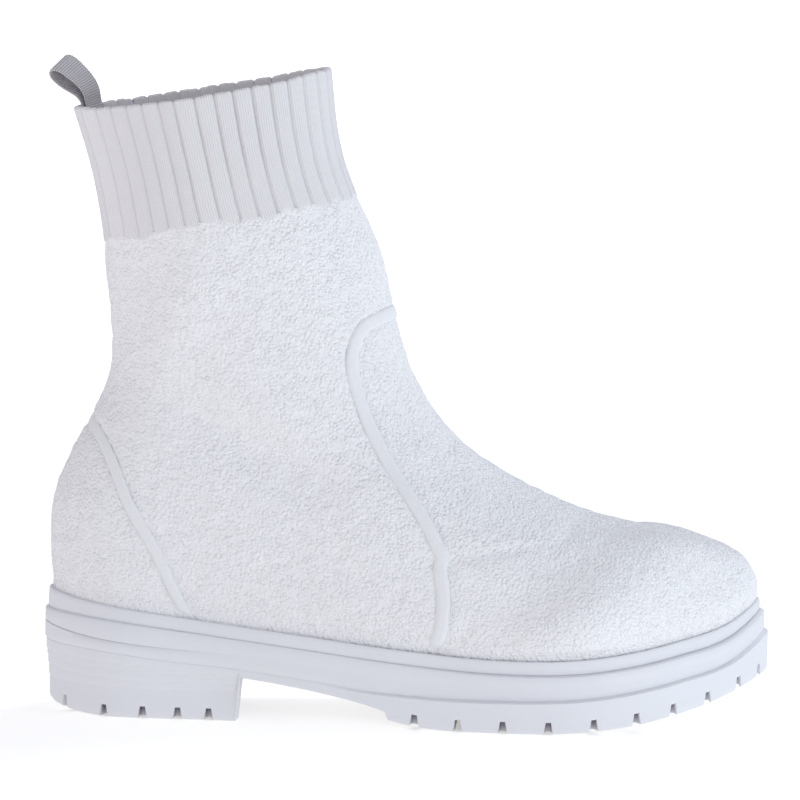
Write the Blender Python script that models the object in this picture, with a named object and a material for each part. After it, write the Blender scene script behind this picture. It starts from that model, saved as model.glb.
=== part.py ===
"""Cloth ankle boot for the right foot: a knitted upper in a moulded sole.

Sizes are millimetres in the frame of the last: X runs from the heel to the toe,
Y to the inner side of the foot and Z up from the floor. The meshes are written
in metres, and an empty moves them so that the origin lies on the floor under the
middle of the boot.
"""

import bmesh
import bpy
import numpy as np

MM = 0.001
GAP = 0.3
SMALL = 0.002
HALVINGS = 40
ROUTE_SAMPLES = 20
SHARP_DEGREES = 35.0

WALL = 2.2
RIB_CROWN = 0.2
RIB_SHOULDER = 0.14
RIM_ROW = 1.0
COLLAR_ROW = 12.0
BODY_ROWS = (0, 1, 1.5, 2, 2.5, 3, 3.5, 4, 4.5, 5, 5.5, 6, 6.5, 7, 7.5, 8, 8.5, 9, 9.5, 10)
CUFF_ROWS = (10.15, 10.7, 11.3, 11.85, 12)
INNER_ROWS = (0, 1, 2, 3, 4, 5, 5.5, 6, 6.5, 7, 7.5, 8, 8.5, 9, 9.5, 10, 11, 12)

CUP_GAP = 0.35
LIP_ROUND = 0.7
LIP_BELLY = 0.8
LINE_REACH = 0.4
BAND_BULGE = 0.15
SEAM_ROUND = 0.4

INSOLE_ROW = 0.55

BREAST_X = 70.4
BREAST_RAKE = 1.6
TREAD_X = 125.0
TREAD_RAKE = 1.4
GROUND_CHAMFER = 1.0
RIB_STEP = 0.35
RIB_STEP_HEIGHT = 0.4
SIDE_ROWS = 10
HEEL_STATIONS = 10
WAIST_STATIONS = 6
FORE_STATIONS = 18

NOTCH_FOOT = 3.2
NOTCH_TOP = 2.0
NOTCH_HEIGHT = 4.2
NOTCH_INWARD = 7.0
NOTCH_SLOPE = 1.5
GROOVE_INWARD = 115.0
CUTTER_REACH = 3.0
HEEL_NOTCHES = (8.4, 22.4, 36.4, 49.2, 60.6)
FORE_NOTCHES = (136.0, 168.0, 183.9, 199.3, 214.0, 226.9, 239.4, 250.5, 257.6)
FORE_GROOVE = 151.9

TAPE_WIDTH = 5.5
TAPE_THICKNESS = 0.8
TAPE_LIFT = 0.5
TAPE_EDGE = 0.5
TAPE_STEP = 6.5
TAPE_FOOT_ROW = 1.09

RIBBON_WIDTH = 13.0
RIBBON_THICKNESS = 1.0
RIBBON_STATIONS = 33

# Plain finishes: colour and roughness.
KNIT_WHITE = ((0.82, 0.83, 0.85), 0.95)
TAPE_WHITE = ((0.77, 0.785, 0.81), 0.5)
SOLE_WHITE = ((0.70, 0.73, 0.78), 0.55)
FOOTBED_GREY = ((0.50, 0.49, 0.52), 0.9)
RIBBON_GREY = ((0.42, 0.40, 0.44), 0.85)


def smooth(at, xs, ys):
    """Cubic curve through the points (xs, ys), going on straight past both ends.

    ys may hold one value for each x, or one array of the shape of at for each x.
    """
    at = np.asarray(at, dtype=float)
    xs = np.asarray(xs, dtype=float)
    ys = np.asarray(ys, dtype=float)
    shape = (-1,) + (1,) * (ys.ndim - 1)
    step = np.diff(xs).reshape(shape)
    rise = np.diff(ys, axis=0) / step
    slope = np.empty_like(ys)
    slope[0] = rise[0]
    slope[-1] = rise[-1]
    slope[1:-1] = (rise[:-1] * step[1:] + rise[1:] * step[:-1]) / (step[:-1] + step[1:])
    index = np.clip(np.searchsorted(xs, at) - 1, 0, len(xs) - 2)

    def pick(values, offset):
        if ys.ndim == 1:
            return values[index + offset]
        return np.take_along_axis(values, (index + offset)[None], axis=0)[0]

    width = np.diff(xs)[index]
    raw = (at - xs[index]) / width
    t = np.clip(raw, 0.0, 1.0)
    curve = (
        pick(ys, 0) * (1 + 2 * t) * (1 - t) ** 2
        + pick(ys, 1) * t * t * (3 - 2 * t)
        + width * (pick(slope, 0) * t * (1 - t) ** 2 - pick(slope, 1) * t * t * (1 - t))
    )
    return curve + (raw - t) * width * np.where(raw > 1, pick(slope, 1), pick(slope, 0))


class Table:
    """Rows of numbers with named columns, read as smooth or straight curves along the first column."""

    def __init__(self, names, rows):
        self.names = names.split()
        self.rows = np.array(rows, dtype=float)

    def column(self, name):
        return self.rows[:, self.names.index(name)]

    def read(self, name, at):
        return smooth(at, self.rows[:, 0], self.column(name))

    def straight(self, name, at):
        return np.interp(at, self.rows[:, 0], self.column(name))


# Rows of the last from the tucked edge (0) and the rim (1) to the collar (12): ends at the
# heel's back and at the front, droop at the ball, slack between the ends, swing of the middle
# line, and half widths along the row.
LAST = Table(
    "row back_x back_z front_x front_z droop slack swing heel quarter waist ball toe",
    (
        (0, 3.5, 37.0, 257.8, 35.5, 16.5, 0.0, 1.00, 25.0, 30.0, 36.0, 43.3, 25.5),
        (1, 2.3, 44.6, 260.8, 44.0, 16.5, 0.0, 1.00, 25.5, 30.8, 37.0, 44.3, 26.5),
        (2, 1.2, 54.0, 260.6, 52.3, 15.0, 0.0, 1.00, 26.0, 31.5, 38.0, 45.0, 26.5),
        (3, 0.7, 66.0, 252.5, 61.8, 12.5, 0.0, 1.00, 25.5, 31.8, 36.5, 43.0, 24.5),
        (4, 2.0, 80.0, 231.0, 68.6, 9.0, 0.0, 1.00, 24.5, 31.0, 34.5, 38.5, 24.8),
        (5, 7.8, 95.0, 200.0, 75.6, 5.0, 0.0, 0.90, 22.0, 30.0, 32.5, 32.7, 20.0),
        (6, 14.8, 108.0, 170.5, 88.0, 2.0, 0.0, 0.70, 20.0, 29.0, 31.5, 27.5, 15.0),
        (7, 20.8, 122.0, 147.8, 104.2, 0.5, 0.0, 0.50, 17.0, 27.5, 31.5, 26.5, 14.0),
        (8, 22.0, 137.0, 133.5, 124.5, 0.0, 0.0, 0.30, 16.0, 27.0, 31.5, 27.0, 15.0),
        (9, 20.6, 152.0, 125.7, 148.0, 0.0, 0.0, 0.15, 15.5, 27.0, 31.2, 27.0, 15.5),
        (9.5, 19.4, 162.0, 120.6, 168.0, 0.2, 0.0, 0.07, 15.5, 27.0, 31.1, 27.0, 15.5),
        (10, 18.6, 172.0, 111.3, 189.5, 0.5, 0.3, 0.00, 15.5, 27.0, 31.0, 27.0, 15.5),
        (11, 14.0, 197.0, 104.0, 211.0, 1.2, 0.9, 0.00, 15.5, 27.0, 31.0, 27.0, 15.5),
        (12, 6.6, 221.0, 100.4, 237.6, 2.0, 1.6, 0.00, 15.0, 26.5, 30.5, 26.5, 15.0),
    ),
)
WIDTH_ANGLES = np.radians((0, 30, 60, 90, 120, 150, 180))
WIDTH_NAMES = ("heel", "quarter", "waist", "ball", "toe")

# Middle line of the foot in plan.
CENTRE = Table(
    "x y",
    (
        (0, 0.0), (40, 0.0), (82, -1.2), (131, -3.5), (165, -2.5), (180, -1.5),
        (222, 3.0), (250, 6.5), (260, 7.0),
    ),
)

# Height of the sole's rim.
RIM = Table(
    "x z",
    (
        (0, 44.8), (23, 41.0), (71, 35.0), (98, 32.0), (128, 28.7), (163, 26.1),
        (200, 27.0), (230, 32.0), (251, 38.0), (260, 43.5),
    ),
)

# Lines of the sole's side, as drops below the rim: under the lip, the ledge's foot, the heel's
# line with its depth, and the seam between the layers.
SOLE_LINES = Table(
    "x lip ledge line depth seam",
    (
        (0, 7.5, 8.3, 12.0, 0.35, 18.6),
        (10, 5.9, 6.6, 12.3, 0.35, 17.2),
        (25, 5.0, 5.6, 12.4, 0.32, 16.2),
        (40, 4.8, 5.3, 12.0, 0.25, 16.0),
        (56, 4.8, 5.2, 11.2, 0.12, 15.5),
        (71, 4.8, 5.2, 10.5, 0.0, 15.1),
        (98, 4.8, 5.2, 10.5, 0.0, 15.4),
        (119, 4.8, 5.3, 10.8, 0.0, 16.2),
        (140, 4.8, 5.4, 10.6, 0.0, 15.6),
        (165, 4.8, 5.5, 10.0, 0.0, 14.4),
        (223, 4.8, 5.6, 9.6, 0.0, 13.5),
        (250, 4.6, 5.5, 9.2, 0.0, 12.8),
        (262, 3.6, 4.6, 7.8, 0.0, 11.0),
    ),
)

# How far each band of the sole's side stands out from the rim line of the upper.
SOLE_OUT = Table(
    "x lip band tread",
    (
        (0, 2.1, 3.2, 2.8),
        (40, 2.2, 3.1, 2.7),
        (72, 2.4, 3.0, 2.7),
        (100, 2.5, 3.1, 3.1),
        (126, 2.5, 3.3, 4.4),
        (150, 2.3, 3.6, 5.4),
        (180, 2.1, 3.7, 5.8),
        (230, 2.0, 3.8, 5.6),
        (260, 1.7, 3.4, 5.0),
    ),
)

# Lines of the ribs round the heel block.
HEEL_RIBS = Table(
    "x first second third fourth",
    (
        (0, 21.7, 19.6, 16.4, 11.9),
        (25, 20.1, 17.8, 14.4, 11.3),
        (36, 19.2, 17.4, 14.1, 11.0),
        (71, 16.3, 15.2, 13.5, 10.9),
    ),
)

# Lowest face of the outsole: the heel with its rounded back, the arch, the tread with its toe spring.
HEEL_GROUND = Table("x z", ((0, 5.5), (4, 3.0), (10, 1.4), (18, 0.4), (25, 0.0), (71, 0.0)))
ARCH_GROUND = Table(
    "x z", ((71, 16.3), (82, 14.9), (96, 12.8), (111, 10.0), (119, 8.0), (126, 5.8))
)
TREAD_GROUND = Table(
    "x z",
    (
        (126, 3.2), (134, 1.5), (142, 0.5), (150, 0.0), (182, 0.0), (200, 1.2), (214, 3.0),
        (229, 6.2), (244, 10.6), (251, 13.6), (258, 16.8), (264, 19.6),
    ),
)

# Middle lines of the bonded tapes in side view, from the rim upwards.
VAMP_ROUTE = Table(
    "point x z",
    (
        (0, 141.5, 33.0),
        (1, 144.3, 54.0),
        (2, 144.4, 63.5),
        (3, 140.2, 72.0),
        (4, 126.8, 92.5),
        (5, 116.0, 112.1),
        (6, 110.8, 129.0),
        (7, 112.6, 140.8),
        (8, 119.2, 146.3),
    ),
)
VAMP_CROSSING_Z = 148.0
HEEL_ROUTE = Table(
    "point x z",
    ((0, 52.5, 42.5), (1, 34.7, 70.4), (2, 20.8, 98.5)),
)
HEEL_CROSSING_Z = 107.0

# Pull loop: its middle line from the sewn tail to the fold, with the ribbon's width direction.
LOOP_SPINE = Table(
    "along x y z wide_x wide_y wide_z",
    (
        (-13, 17.4, 5.9, 208.6, 4.9, 12.0, 0.0),
        (0, 13.3, 5.9, 221.0, 4.9, 12.0, 1.0),
        (7, 10.8, 6.1, 227.0, 5.0, 11.9, 2.5),
        (14, 4.8, 6.5, 232.4, 5.3, 11.6, 4.4),
        (20, 0.2, 6.7, 236.3, 5.6, 11.5, 5.6),
    ),
)
# Half of the ribbon's path, tail to fold: place along the middle line and distance from it.
LOOP_PLY = Table(
    "along apart",
    ((-13.0, 0.75), (0.0, 0.75), (6.0, 1.5), (11.0, 2.4), (15.5, 2.6), (18.6, 1.8), (19.8, 0.0)),
)

# Grooves between the cuff's ribs on one side of the collar, from the back to the front.
GROOVES = Table(
    "groove x depth",
    (
        (0, 6.9, 0.35), (1, 9.1, 0.35), (2, 14.9, 0.35), (3, 20.4, 0.40), (4, 26.2, 0.45),
        (5, 31.9, 0.50), (6, 38.0, 0.60), (7, 43.6, 0.85), (8, 51.2, 1.00), (9, 58.4, 1.00),
        (10, 65.2, 1.00), (11, 72.1, 0.95), (12, 78.8, 0.90), (13, 85.1, 0.80), (14, 90.7, 0.70),
        (15, 95.6, 0.60), (16, 98.8, 0.50), (17, 100.2, 0.45),
    ),
)
RIBS = 2 * len(GROOVES.rows)


def last_point(u, row):
    """Points of the upper's outer face: u turns round a row from the heel's back, outer side first."""
    u, row = np.broadcast_arrays(np.asarray(u, dtype=float), np.asarray(row, dtype=float))
    along = (1 - np.cos(u)) / 2
    back_x = LAST.read("back_x", row)
    back_z = LAST.read("back_z", row)
    front_x = LAST.read("front_x", row)
    x = back_x + along * (front_x - back_x)
    level = back_z + along * (LAST.read("front_z", row) - back_z)
    sag = dip(x) - (1 - along) * dip(back_x) - along * dip(front_x)
    hang = 4 * along * (1 - along)
    z = level - LAST.read("droop", row) * sag - LAST.read("slack", row) * hang
    flat = np.zeros_like(x)
    widths = np.stack([flat, *(LAST.read(name, row) for name in WIDTH_NAMES), flat])
    half_width = smooth(np.arccos(np.cos(u)), WIDTH_ANGLES, widths)
    y = LAST.read("swing", row) * CENTRE.read("y", x) - np.sign(np.sin(u)) * half_width
    return np.stack((x, y, z), axis=-1)


def dip(x):
    """Dip of the rim at x: 0 at the heel's back and the toe, 1 at the ball."""
    heights = RIM.column("z")
    return (heights.max() - RIM.read("z", x)) / (heights.max() - heights.min())


def unit(vectors):
    """Vectors scaled to length one."""
    return vectors / np.linalg.norm(vectors, axis=-1, keepdims=True)


def last_slopes(u, row):
    """Change of the upper's outer face with the angle and with the row, from small steps."""
    by_u = last_point(u + SMALL, row) - last_point(u - SMALL, row)
    by_row = last_point(u, row + SMALL) - last_point(u, row - SMALL)
    return by_u / (2 * SMALL), by_row / (2 * SMALL)


def last_normal(u, row):
    """Outward direction of the upper's outer face."""
    by_u, by_row = last_slopes(u, row)
    return unit(np.cross(by_u, by_row))


def shell_point(u, row, out):
    """Points at a distance out from the upper's outer face."""
    row = np.broadcast_to(np.asarray(row, dtype=float), np.shape(u))
    return last_point(u, row) + np.reshape(out, (-1, 1)) * last_normal(u, row)


def side_angle(x, row):
    """Angle on the outer side where a row of the upper passes x."""
    back = LAST.read("back_x", row)
    share = (x - back) / (LAST.read("front_x", row) - back)
    return np.arccos(1 - 2 * np.clip(share, 0.0, 1.0))


def column_angle(rib):
    """Angles of places counted in ribs round the collar, straight between the grooves."""
    outer_side = side_angle(GROOVES.column("x"), COLLAR_ROW)
    angle = np.concatenate((outer_side, 2 * np.pi - outer_side[::-1]))
    closed = np.concatenate((angle[-1:] - 2 * np.pi, angle))
    return np.interp(rib, np.arange(-1, RIBS), closed)


def body_angles():
    """Angles of the columns round the body: the middle of the rib at the back, a groove, and so on."""
    return column_angle(np.arange(2 * RIBS) / 2 - 0.5)


def rim_angle(x):
    """Angle on the outer side where the rim row of the upper passes x."""
    return side_angle(x, RIM_ROW)


def rim_frame(u):
    """Rim row of the upper in plan: places, outward directions and directions along it."""
    place = last_point(u, RIM_ROW)[..., :2]
    along = unit(last_slopes(u, RIM_ROW)[0][..., :2])
    outward = np.stack((along[..., 1], -along[..., 0]), axis=-1)
    return place, outward, along


def sole_loop(u, out, z):
    """Loop of the sole's side at a distance out from the rim row, at the heights z."""
    place, outward, _ = rim_frame(u)
    plan = place + np.reshape(out, (-1, 1)) * outward
    return np.column_stack((plan, np.broadcast_to(z, len(u))))


def seam_height(x):
    """Height of the seam between the two layers of the sole."""
    return RIM.read("z", x) - SOLE_LINES.read("seam", x)


def on_heel(x):
    """Whether x lies on the heel block."""
    return x < BREAST_X + BREAST_RAKE / 2


def ground_height(x):
    """Height of the outsole's lowest face."""
    arch = ARCH_GROUND.straight("z", x)
    tread = TREAD_GROUND.straight("z", x)
    front = np.where(x < TREAD_X + TREAD_RAKE / 2, arch, tread)
    return np.where(on_heel(x), HEEL_GROUND.straight("z", x), front)


def add_loop(bm, points):
    """Vertices of one loop or section, in order."""
    return [bm.verts.new(point * MM) for point in points]


def add_strip(bm, low, high):
    """Quads between two closed loops of equal length."""
    for i, vertex in enumerate(low):
        j = (i + 1) % len(low)
        bm.faces.new((vertex, low[j], high[j], high[i]))


def add_doubling(bm, coarse, fine):
    """Triangles between a closed loop and one with twice as many vertices."""
    count = len(coarse)
    for i in range(count):
        j = (i + 1) % count
        start = fine[2 * i]
        middle = fine[2 * i + 1]
        end = fine[2 * j]
        bm.faces.new((coarse[i], coarse[j], middle))
        bm.faces.new((coarse[i], middle, start))
        bm.faces.new((coarse[j], end, middle))


def add_rungs(bm, loop):
    """Faces that fill a closed loop, each between the outer and the inner side at one station."""
    half = len(loop) // 2
    bm.faces.new((loop[0], loop[1], loop[-1]))
    for i in range(1, half - 1):
        bm.faces.new((loop[i], loop[i + 1], loop[-i - 1], loop[-i]))
    bm.faces.new((loop[half - 1], loop[half], loop[half + 1]))


def add_sweep(bm, sections):
    """Tube of quads through four-cornered sections, closed by a face at each end."""
    for low, high in zip(sections, sections[1:]):
        add_strip(bm, low, high)
    bm.faces.new(sections[0])
    bm.faces.new(sections[-1])


def make_material(name, finish):
    """Plain material of one piece."""
    colour, roughness = finish
    material = bpy.data.materials.new(name)
    material.use_nodes = True
    shader = material.node_tree.nodes["Principled BSDF"]
    shader.inputs["Base Color"].default_value = (*colour, 1.0)
    shader.inputs["Roughness"].default_value = roughness
    shader.inputs["Metallic"].default_value = 0.0
    return material


def make_object(name, bm, finish):
    """Object of one closed body, with its own material."""
    bmesh.ops.recalc_face_normals(bm, faces=bm.faces)
    mesh = bpy.data.meshes.new(name)
    bm.to_mesh(mesh)
    bm.free()
    mesh.shade_smooth()
    mesh.set_sharp_from_angle(angle=np.radians(SHARP_DEGREES))
    mesh.materials.append(make_material(name + "_finish", finish))
    thing = bpy.data.objects.new(name, mesh)
    bpy.context.scene.collection.objects.link(thing)
    return thing


def build_upper():
    """Knitted upper: an open wall from inside the sole's cup to the ribbed cuff."""
    bm = bmesh.new()
    body = body_angles()
    places = np.arange(RIBS)[:, None] + np.array((-0.5, -RIB_SHOULDER, 0.0, RIB_SHOULDER))
    cuff = column_angle(places.ravel())
    depth = np.concatenate((GROOVES.column("depth"), GROOVES.column("depth")[::-1]))
    flat = np.zeros(RIBS)
    relief = np.column_stack((flat + RIB_CROWN, flat, -depth, flat)).ravel()
    outer = [add_loop(bm, shell_point(body, row, 0.0)) for row in BODY_ROWS]
    ribbed = [add_loop(bm, shell_point(cuff, row, relief)) for row in CUFF_ROWS]
    inner = [add_loop(bm, shell_point(body, row, -WALL)) for row in INNER_ROWS]
    for loops in (outer, ribbed, inner):
        for low, high in zip(loops, loops[1:]):
            add_strip(bm, low, high)
    add_doubling(bm, outer[-1], ribbed[0])
    add_doubling(bm, inner[-1], ribbed[-1])
    add_strip(bm, outer[0], inner[0])
    return make_object("upper", bm, KNIT_WHITE)


def cup_floor(u):
    """Loop where the floor of the sole's cup meets its wall."""
    points = shell_point(u, 0.0, CUP_GAP)
    points[:, 2] = last_point(u, np.zeros_like(u))[:, 2] - CUP_GAP
    return points


def build_midsole():
    """Upper layer of the sole: a cup round the upper's edge, with a lip, a ledge and a side band."""
    bm = bmesh.new()
    u = body_angles()
    x = last_point(u, RIM_ROW)[:, 0]
    rim = RIM.read("z", x)
    lip = rim - SOLE_LINES.read("lip", x)
    ledge = rim - SOLE_LINES.read("ledge", x)
    line = rim - SOLE_LINES.read("line", x)
    seam = seam_height(x)
    lip_out = SOLE_OUT.read("lip", x)
    band_out = SOLE_OUT.read("band", x)
    bulge = band_out + BAND_BULGE
    cup_rim = shell_point(u, RIM_ROW, CUP_GAP)
    cup_rim[:, 2] = rim
    sections = (
        cup_floor(u),
        cup_rim,
        sole_loop(u, lip_out - LIP_ROUND, rim),
        sole_loop(u, lip_out, lip + (rim - lip) * LIP_BELLY),
        sole_loop(u, lip_out, lip),
        sole_loop(u, band_out, ledge),
        sole_loop(u, bulge, line + LINE_REACH),
        sole_loop(u, bulge - SOLE_LINES.read("depth", x), line),
        sole_loop(u, bulge, line - LINE_REACH),
        sole_loop(u, band_out, seam + SEAM_ROUND),
        sole_loop(u, band_out - SEAM_ROUND, seam),
    )
    loops = [add_loop(bm, points) for points in sections]
    for low, high in zip(loops, loops[1:]):
        add_strip(bm, low, high)
    add_rungs(bm, loops[0])
    add_rungs(bm, loops[-1])
    return make_object("midsole", bm, SOLE_WHITE)


def build_insole():
    """Footbed on the cup's floor, inside the upper's wall."""
    bm = bmesh.new()
    u = body_angles()
    inset = -(WALL + CUP_GAP)
    under = shell_point(u, 0.0, inset)
    under[:, 2] = cup_floor(u)[:, 2] + GAP
    top = shell_point(u, INSOLE_ROW, inset)
    low = add_loop(bm, under)
    high = add_loop(bm, top)
    add_strip(bm, low, high)
    add_rungs(bm, low)
    add_rungs(bm, high)
    return make_object("insole", bm, FOOTBED_GREY)


def outsole_angles():
    """Angles of the outsole's stations, in close pairs at the heel's breast and at the tread's edge."""
    heel = np.linspace(0.0, rim_angle(BREAST_X), HEEL_STATIONS)
    waist = np.linspace(rim_angle(BREAST_X + BREAST_RAKE), rim_angle(TREAD_X), WAIST_STATIONS)
    fore = np.linspace(rim_angle(TREAD_X + TREAD_RAKE), np.pi, FORE_STATIONS)
    outer_side = np.concatenate((heel, waist, fore))
    return np.concatenate((outer_side, 2 * np.pi - outer_side[-2:0:-1]))


def build_outsole():
    """Tread layer: heel block with stepped ribs, thin arch and forefoot block, notched all round."""
    bm = bmesh.new()
    u = outsole_angles()
    x = last_point(u, RIM_ROW)[:, 0]
    top = seam_height(x) - GAP
    ground = ground_height(x)
    edge = ground + GROUND_CHAMFER
    tread_out = SOLE_OUT.read("tread", x)
    half_step = RIB_STEP_HEIGHT / 2
    ribbed = [top]
    stepped = [0.0]
    for count, name in enumerate(("first", "second", "third", "fourth")):
        line = HEEL_RIBS.read(name, x)
        ribbed += [line + half_step, line - half_step]
        stepped += [count * RIB_STEP, (count + 1) * RIB_STEP]
    ribbed.append(edge)
    stepped.append(stepped[-1])
    loops = []
    for row in range(SIDE_ROWS):
        plain = top + (edge - top) * row / (SIDE_ROWS - 1)
        height = np.where(on_heel(x), ribbed[row], plain)
        out = tread_out - np.where(on_heel(x), stepped[row], 0.0)
        loops.append(add_loop(bm, sole_loop(u, out, height)))
    loops.append(add_loop(bm, sole_loop(u, out - GROUND_CHAMFER, ground)))
    for high, low in zip(loops, loops[1:]):
        add_strip(bm, high, low)
    add_rungs(bm, loops[0])
    add_rungs(bm, loops[-1])
    outsole = make_object("outsole", bm, SOLE_WHITE)
    cut = outsole.modifiers.new("notches", "BOOLEAN")
    cut.operation = "DIFFERENCE"
    cut.object = build_notch_cutter()
    return outsole


def add_notch(bm, frame, x, inward):
    """Wedge across the ground edge of the outsole at one station."""
    place, outward, along = frame
    edge = place + SOLE_OUT.read("tread", x) * outward
    base = ground_height(x)
    taper = (NOTCH_FOOT - NOTCH_TOP) / NOTCH_HEIGHT
    levels = ((base - CUTTER_REACH, NOTCH_FOOT + taper * CUTTER_REACH, inward),
              (base + NOTCH_HEIGHT, NOTCH_TOP, inward - NOTCH_SLOPE))
    rings = []
    for z, width, depth in levels:
        corners = ((CUTTER_REACH, -1), (CUTTER_REACH, 1), (-depth, 1), (-depth, -1))
        plan = [edge + out * outward + side * width / 2 * along for out, side in corners]
        rings.append(add_loop(bm, [np.append(point, z) for point in plan]))
    add_sweep(bm, rings)


def build_notch_cutter():
    """Wedges that cut the notches between the lugs, and one groove right across the tread."""
    bm = bmesh.new()
    for x in HEEL_NOTCHES + FORE_NOTCHES:
        angle = rim_angle(x)
        add_notch(bm, rim_frame(angle), x, NOTCH_INWARD)
        add_notch(bm, rim_frame(2 * np.pi - angle), x, NOTCH_INWARD)
    place = rim_frame(rim_angle(FORE_GROOVE))[0]
    add_notch(bm, (place, np.array((0.0, -1.0)), np.array((1.0, 0.0))), FORE_GROOVE, GROOVE_INWARD)
    cutter = make_object("notch_cutter", bm, SOLE_WHITE)
    cutter.hide_render = True
    cutter.display_type = "WIRE"
    return cutter


def row_through(x, z):
    """Angle on the outer side and row of the upper at a place in side view, by halving the rows."""
    low = np.zeros_like(x)
    high = np.full_like(x, COLLAR_ROW)
    for _ in range(HALVINGS):
        row = (low + high) / 2
        u = side_angle(x, row)
        above = last_point(u, row)[:, 2] > z
        high = np.where(above, row, high)
        low = np.where(above, low, row)
    return side_angle(x, row), row


def tape_route(route, crossing_angle, crossing_z):
    """Angles and rows along a tape, from the outer rim over its crossing to the inner rim."""
    u, row = row_through(route.column("x"), route.column("z"))
    name = "front_z" if crossing_angle else "back_z"
    crossing_row = np.interp(crossing_z, LAST.column(name), LAST.column("row"))
    row[0] = TAPE_FOOT_ROW
    u = np.concatenate((u, [crossing_angle], 2 * crossing_angle - u[::-1]))
    row = np.concatenate((row, [crossing_row], row[::-1]))
    points = np.arange(len(u))
    fine = np.linspace(0, points[-1], ROUTE_SAMPLES * len(u))
    fine_u = smooth(fine, points, u)
    fine_row = smooth(fine, points, row)
    steps = np.linalg.norm(np.diff(last_point(fine_u, fine_row), axis=0), axis=1)
    length = np.concatenate(([0.0], np.cumsum(steps)))
    even = np.linspace(0.0, length[-1], int(length[-1] / TAPE_STEP) + 1)
    at = np.interp(even, length, fine)
    return smooth(at, points, u), smooth(at, points, row)


def beside_route(u, row, distance):
    """Angles and rows of a line on the upper beside a route, at a distance across it."""
    along = unit(np.gradient(last_point(u, row), axis=0))
    by_u, by_row = last_slopes(u, row)
    across = unit(np.cross(np.cross(by_u, by_row), along)) * distance
    uu = np.sum(by_u * by_u, axis=1)
    rr = np.sum(by_row * by_row, axis=1)
    ur = np.sum(by_u * by_row, axis=1)
    to_u = np.sum(across * by_u, axis=1)
    to_row = np.sum(across * by_row, axis=1)
    scale = uu * rr - ur * ur
    beside_row = row + (uu * to_row - ur * to_u) / scale
    beside_row[[0, -1]] = TAPE_FOOT_ROW
    return u + (rr * to_u - ur * to_row) / scale, beside_row


def build_tape(name, route, crossing_angle, crossing_z):
    """Bonded tape: a thin strip that follows the upper's own face."""
    bm = bmesh.new()
    u, row = tape_route(route, crossing_angle, crossing_z)
    half = TAPE_WIDTH / 2
    top = TAPE_LIFT + TAPE_THICKNESS
    lines = ((-half, TAPE_LIFT), (half, TAPE_LIFT), (half - TAPE_EDGE, top), (TAPE_EDGE - half, top))
    corners = [shell_point(*beside_route(u, row, across), out) for across, out in lines]
    add_sweep(bm, [add_loop(bm, section) for section in np.stack(corners, axis=1)])
    return make_object(name, bm, TAPE_WHITE)


def build_pull_loop():
    """Ribbon folded into a loop that leans back, with its two ends side by side inside the collar."""
    bm = bmesh.new()
    half = LOOP_PLY.rows
    path = np.concatenate((half, half[-2::-1] * (1, -1)))
    points = np.arange(len(path))
    at = np.linspace(0, points[-1], RIBBON_STATIONS)
    along = smooth(at, points, path[:, 0])
    apart = smooth(at, points, path[:, 1])
    spine = np.column_stack([LOOP_SPINE.read(axis, along) for axis in "xyz"])
    wide = unit(np.column_stack([LOOP_SPINE.read("wide_" + axis, along) for axis in "xyz"]))
    ahead = np.column_stack([LOOP_SPINE.read(axis, along + SMALL) for axis in "xyz"])
    side = unit(np.cross(unit(ahead - spine), wide))
    place = spine + apart[:, None] * side
    thick = unit(np.cross(np.gradient(place, axis=0), wide)) * RIBBON_THICKNESS / 2
    reach = wide * RIBBON_WIDTH / 2
    corners = (place - thick - reach, place - thick + reach, place + thick + reach, place + thick - reach)
    add_sweep(bm, [add_loop(bm, section) for section in np.stack(corners, axis=1)])
    return make_object("pull_loop", bm, RIBBON_GREY)


def stand_on_origin(things):
    """Parent every piece to an empty that puts the middle of the boot's floor box at the origin."""
    corners = np.array([vertex.co for thing in things for vertex in thing.data.vertices])
    low = corners.min(axis=0)
    high = corners.max(axis=0)
    frame = bpy.data.objects.new("boot_frame", None)
    frame.location = (-(low[0] + high[0]) / 2, -(low[1] + high[1]) / 2, -low[2])
    bpy.context.scene.collection.objects.link(frame)
    for thing in bpy.context.scene.collection.objects:
        if thing is not frame:
            thing.parent = frame


def main():
    for thing in list(bpy.data.objects):
        bpy.data.objects.remove(thing)
    pieces = [
        build_upper(),
        build_midsole(),
        build_outsole(),
        build_insole(),
        build_tape("vamp_tape", VAMP_ROUTE, np.pi, VAMP_CROSSING_Z),
        build_tape("heel_tape", HEEL_ROUTE, 0.0, HEEL_CROSSING_Z),
        build_pull_loop(),
    ]
    stand_on_origin(pieces)


main()
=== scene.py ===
"""Cloth ankle boot for the right foot: the finish of every piece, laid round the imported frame.

Lengths in the tables are millimetres in the frame of the last: X runs from the heel to
the toe, Y to the inner side of the foot and Z up from the floor. FRAME_SHIFT moves them
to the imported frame, and make_piece writes them in metres.
"""

import itertools

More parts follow.
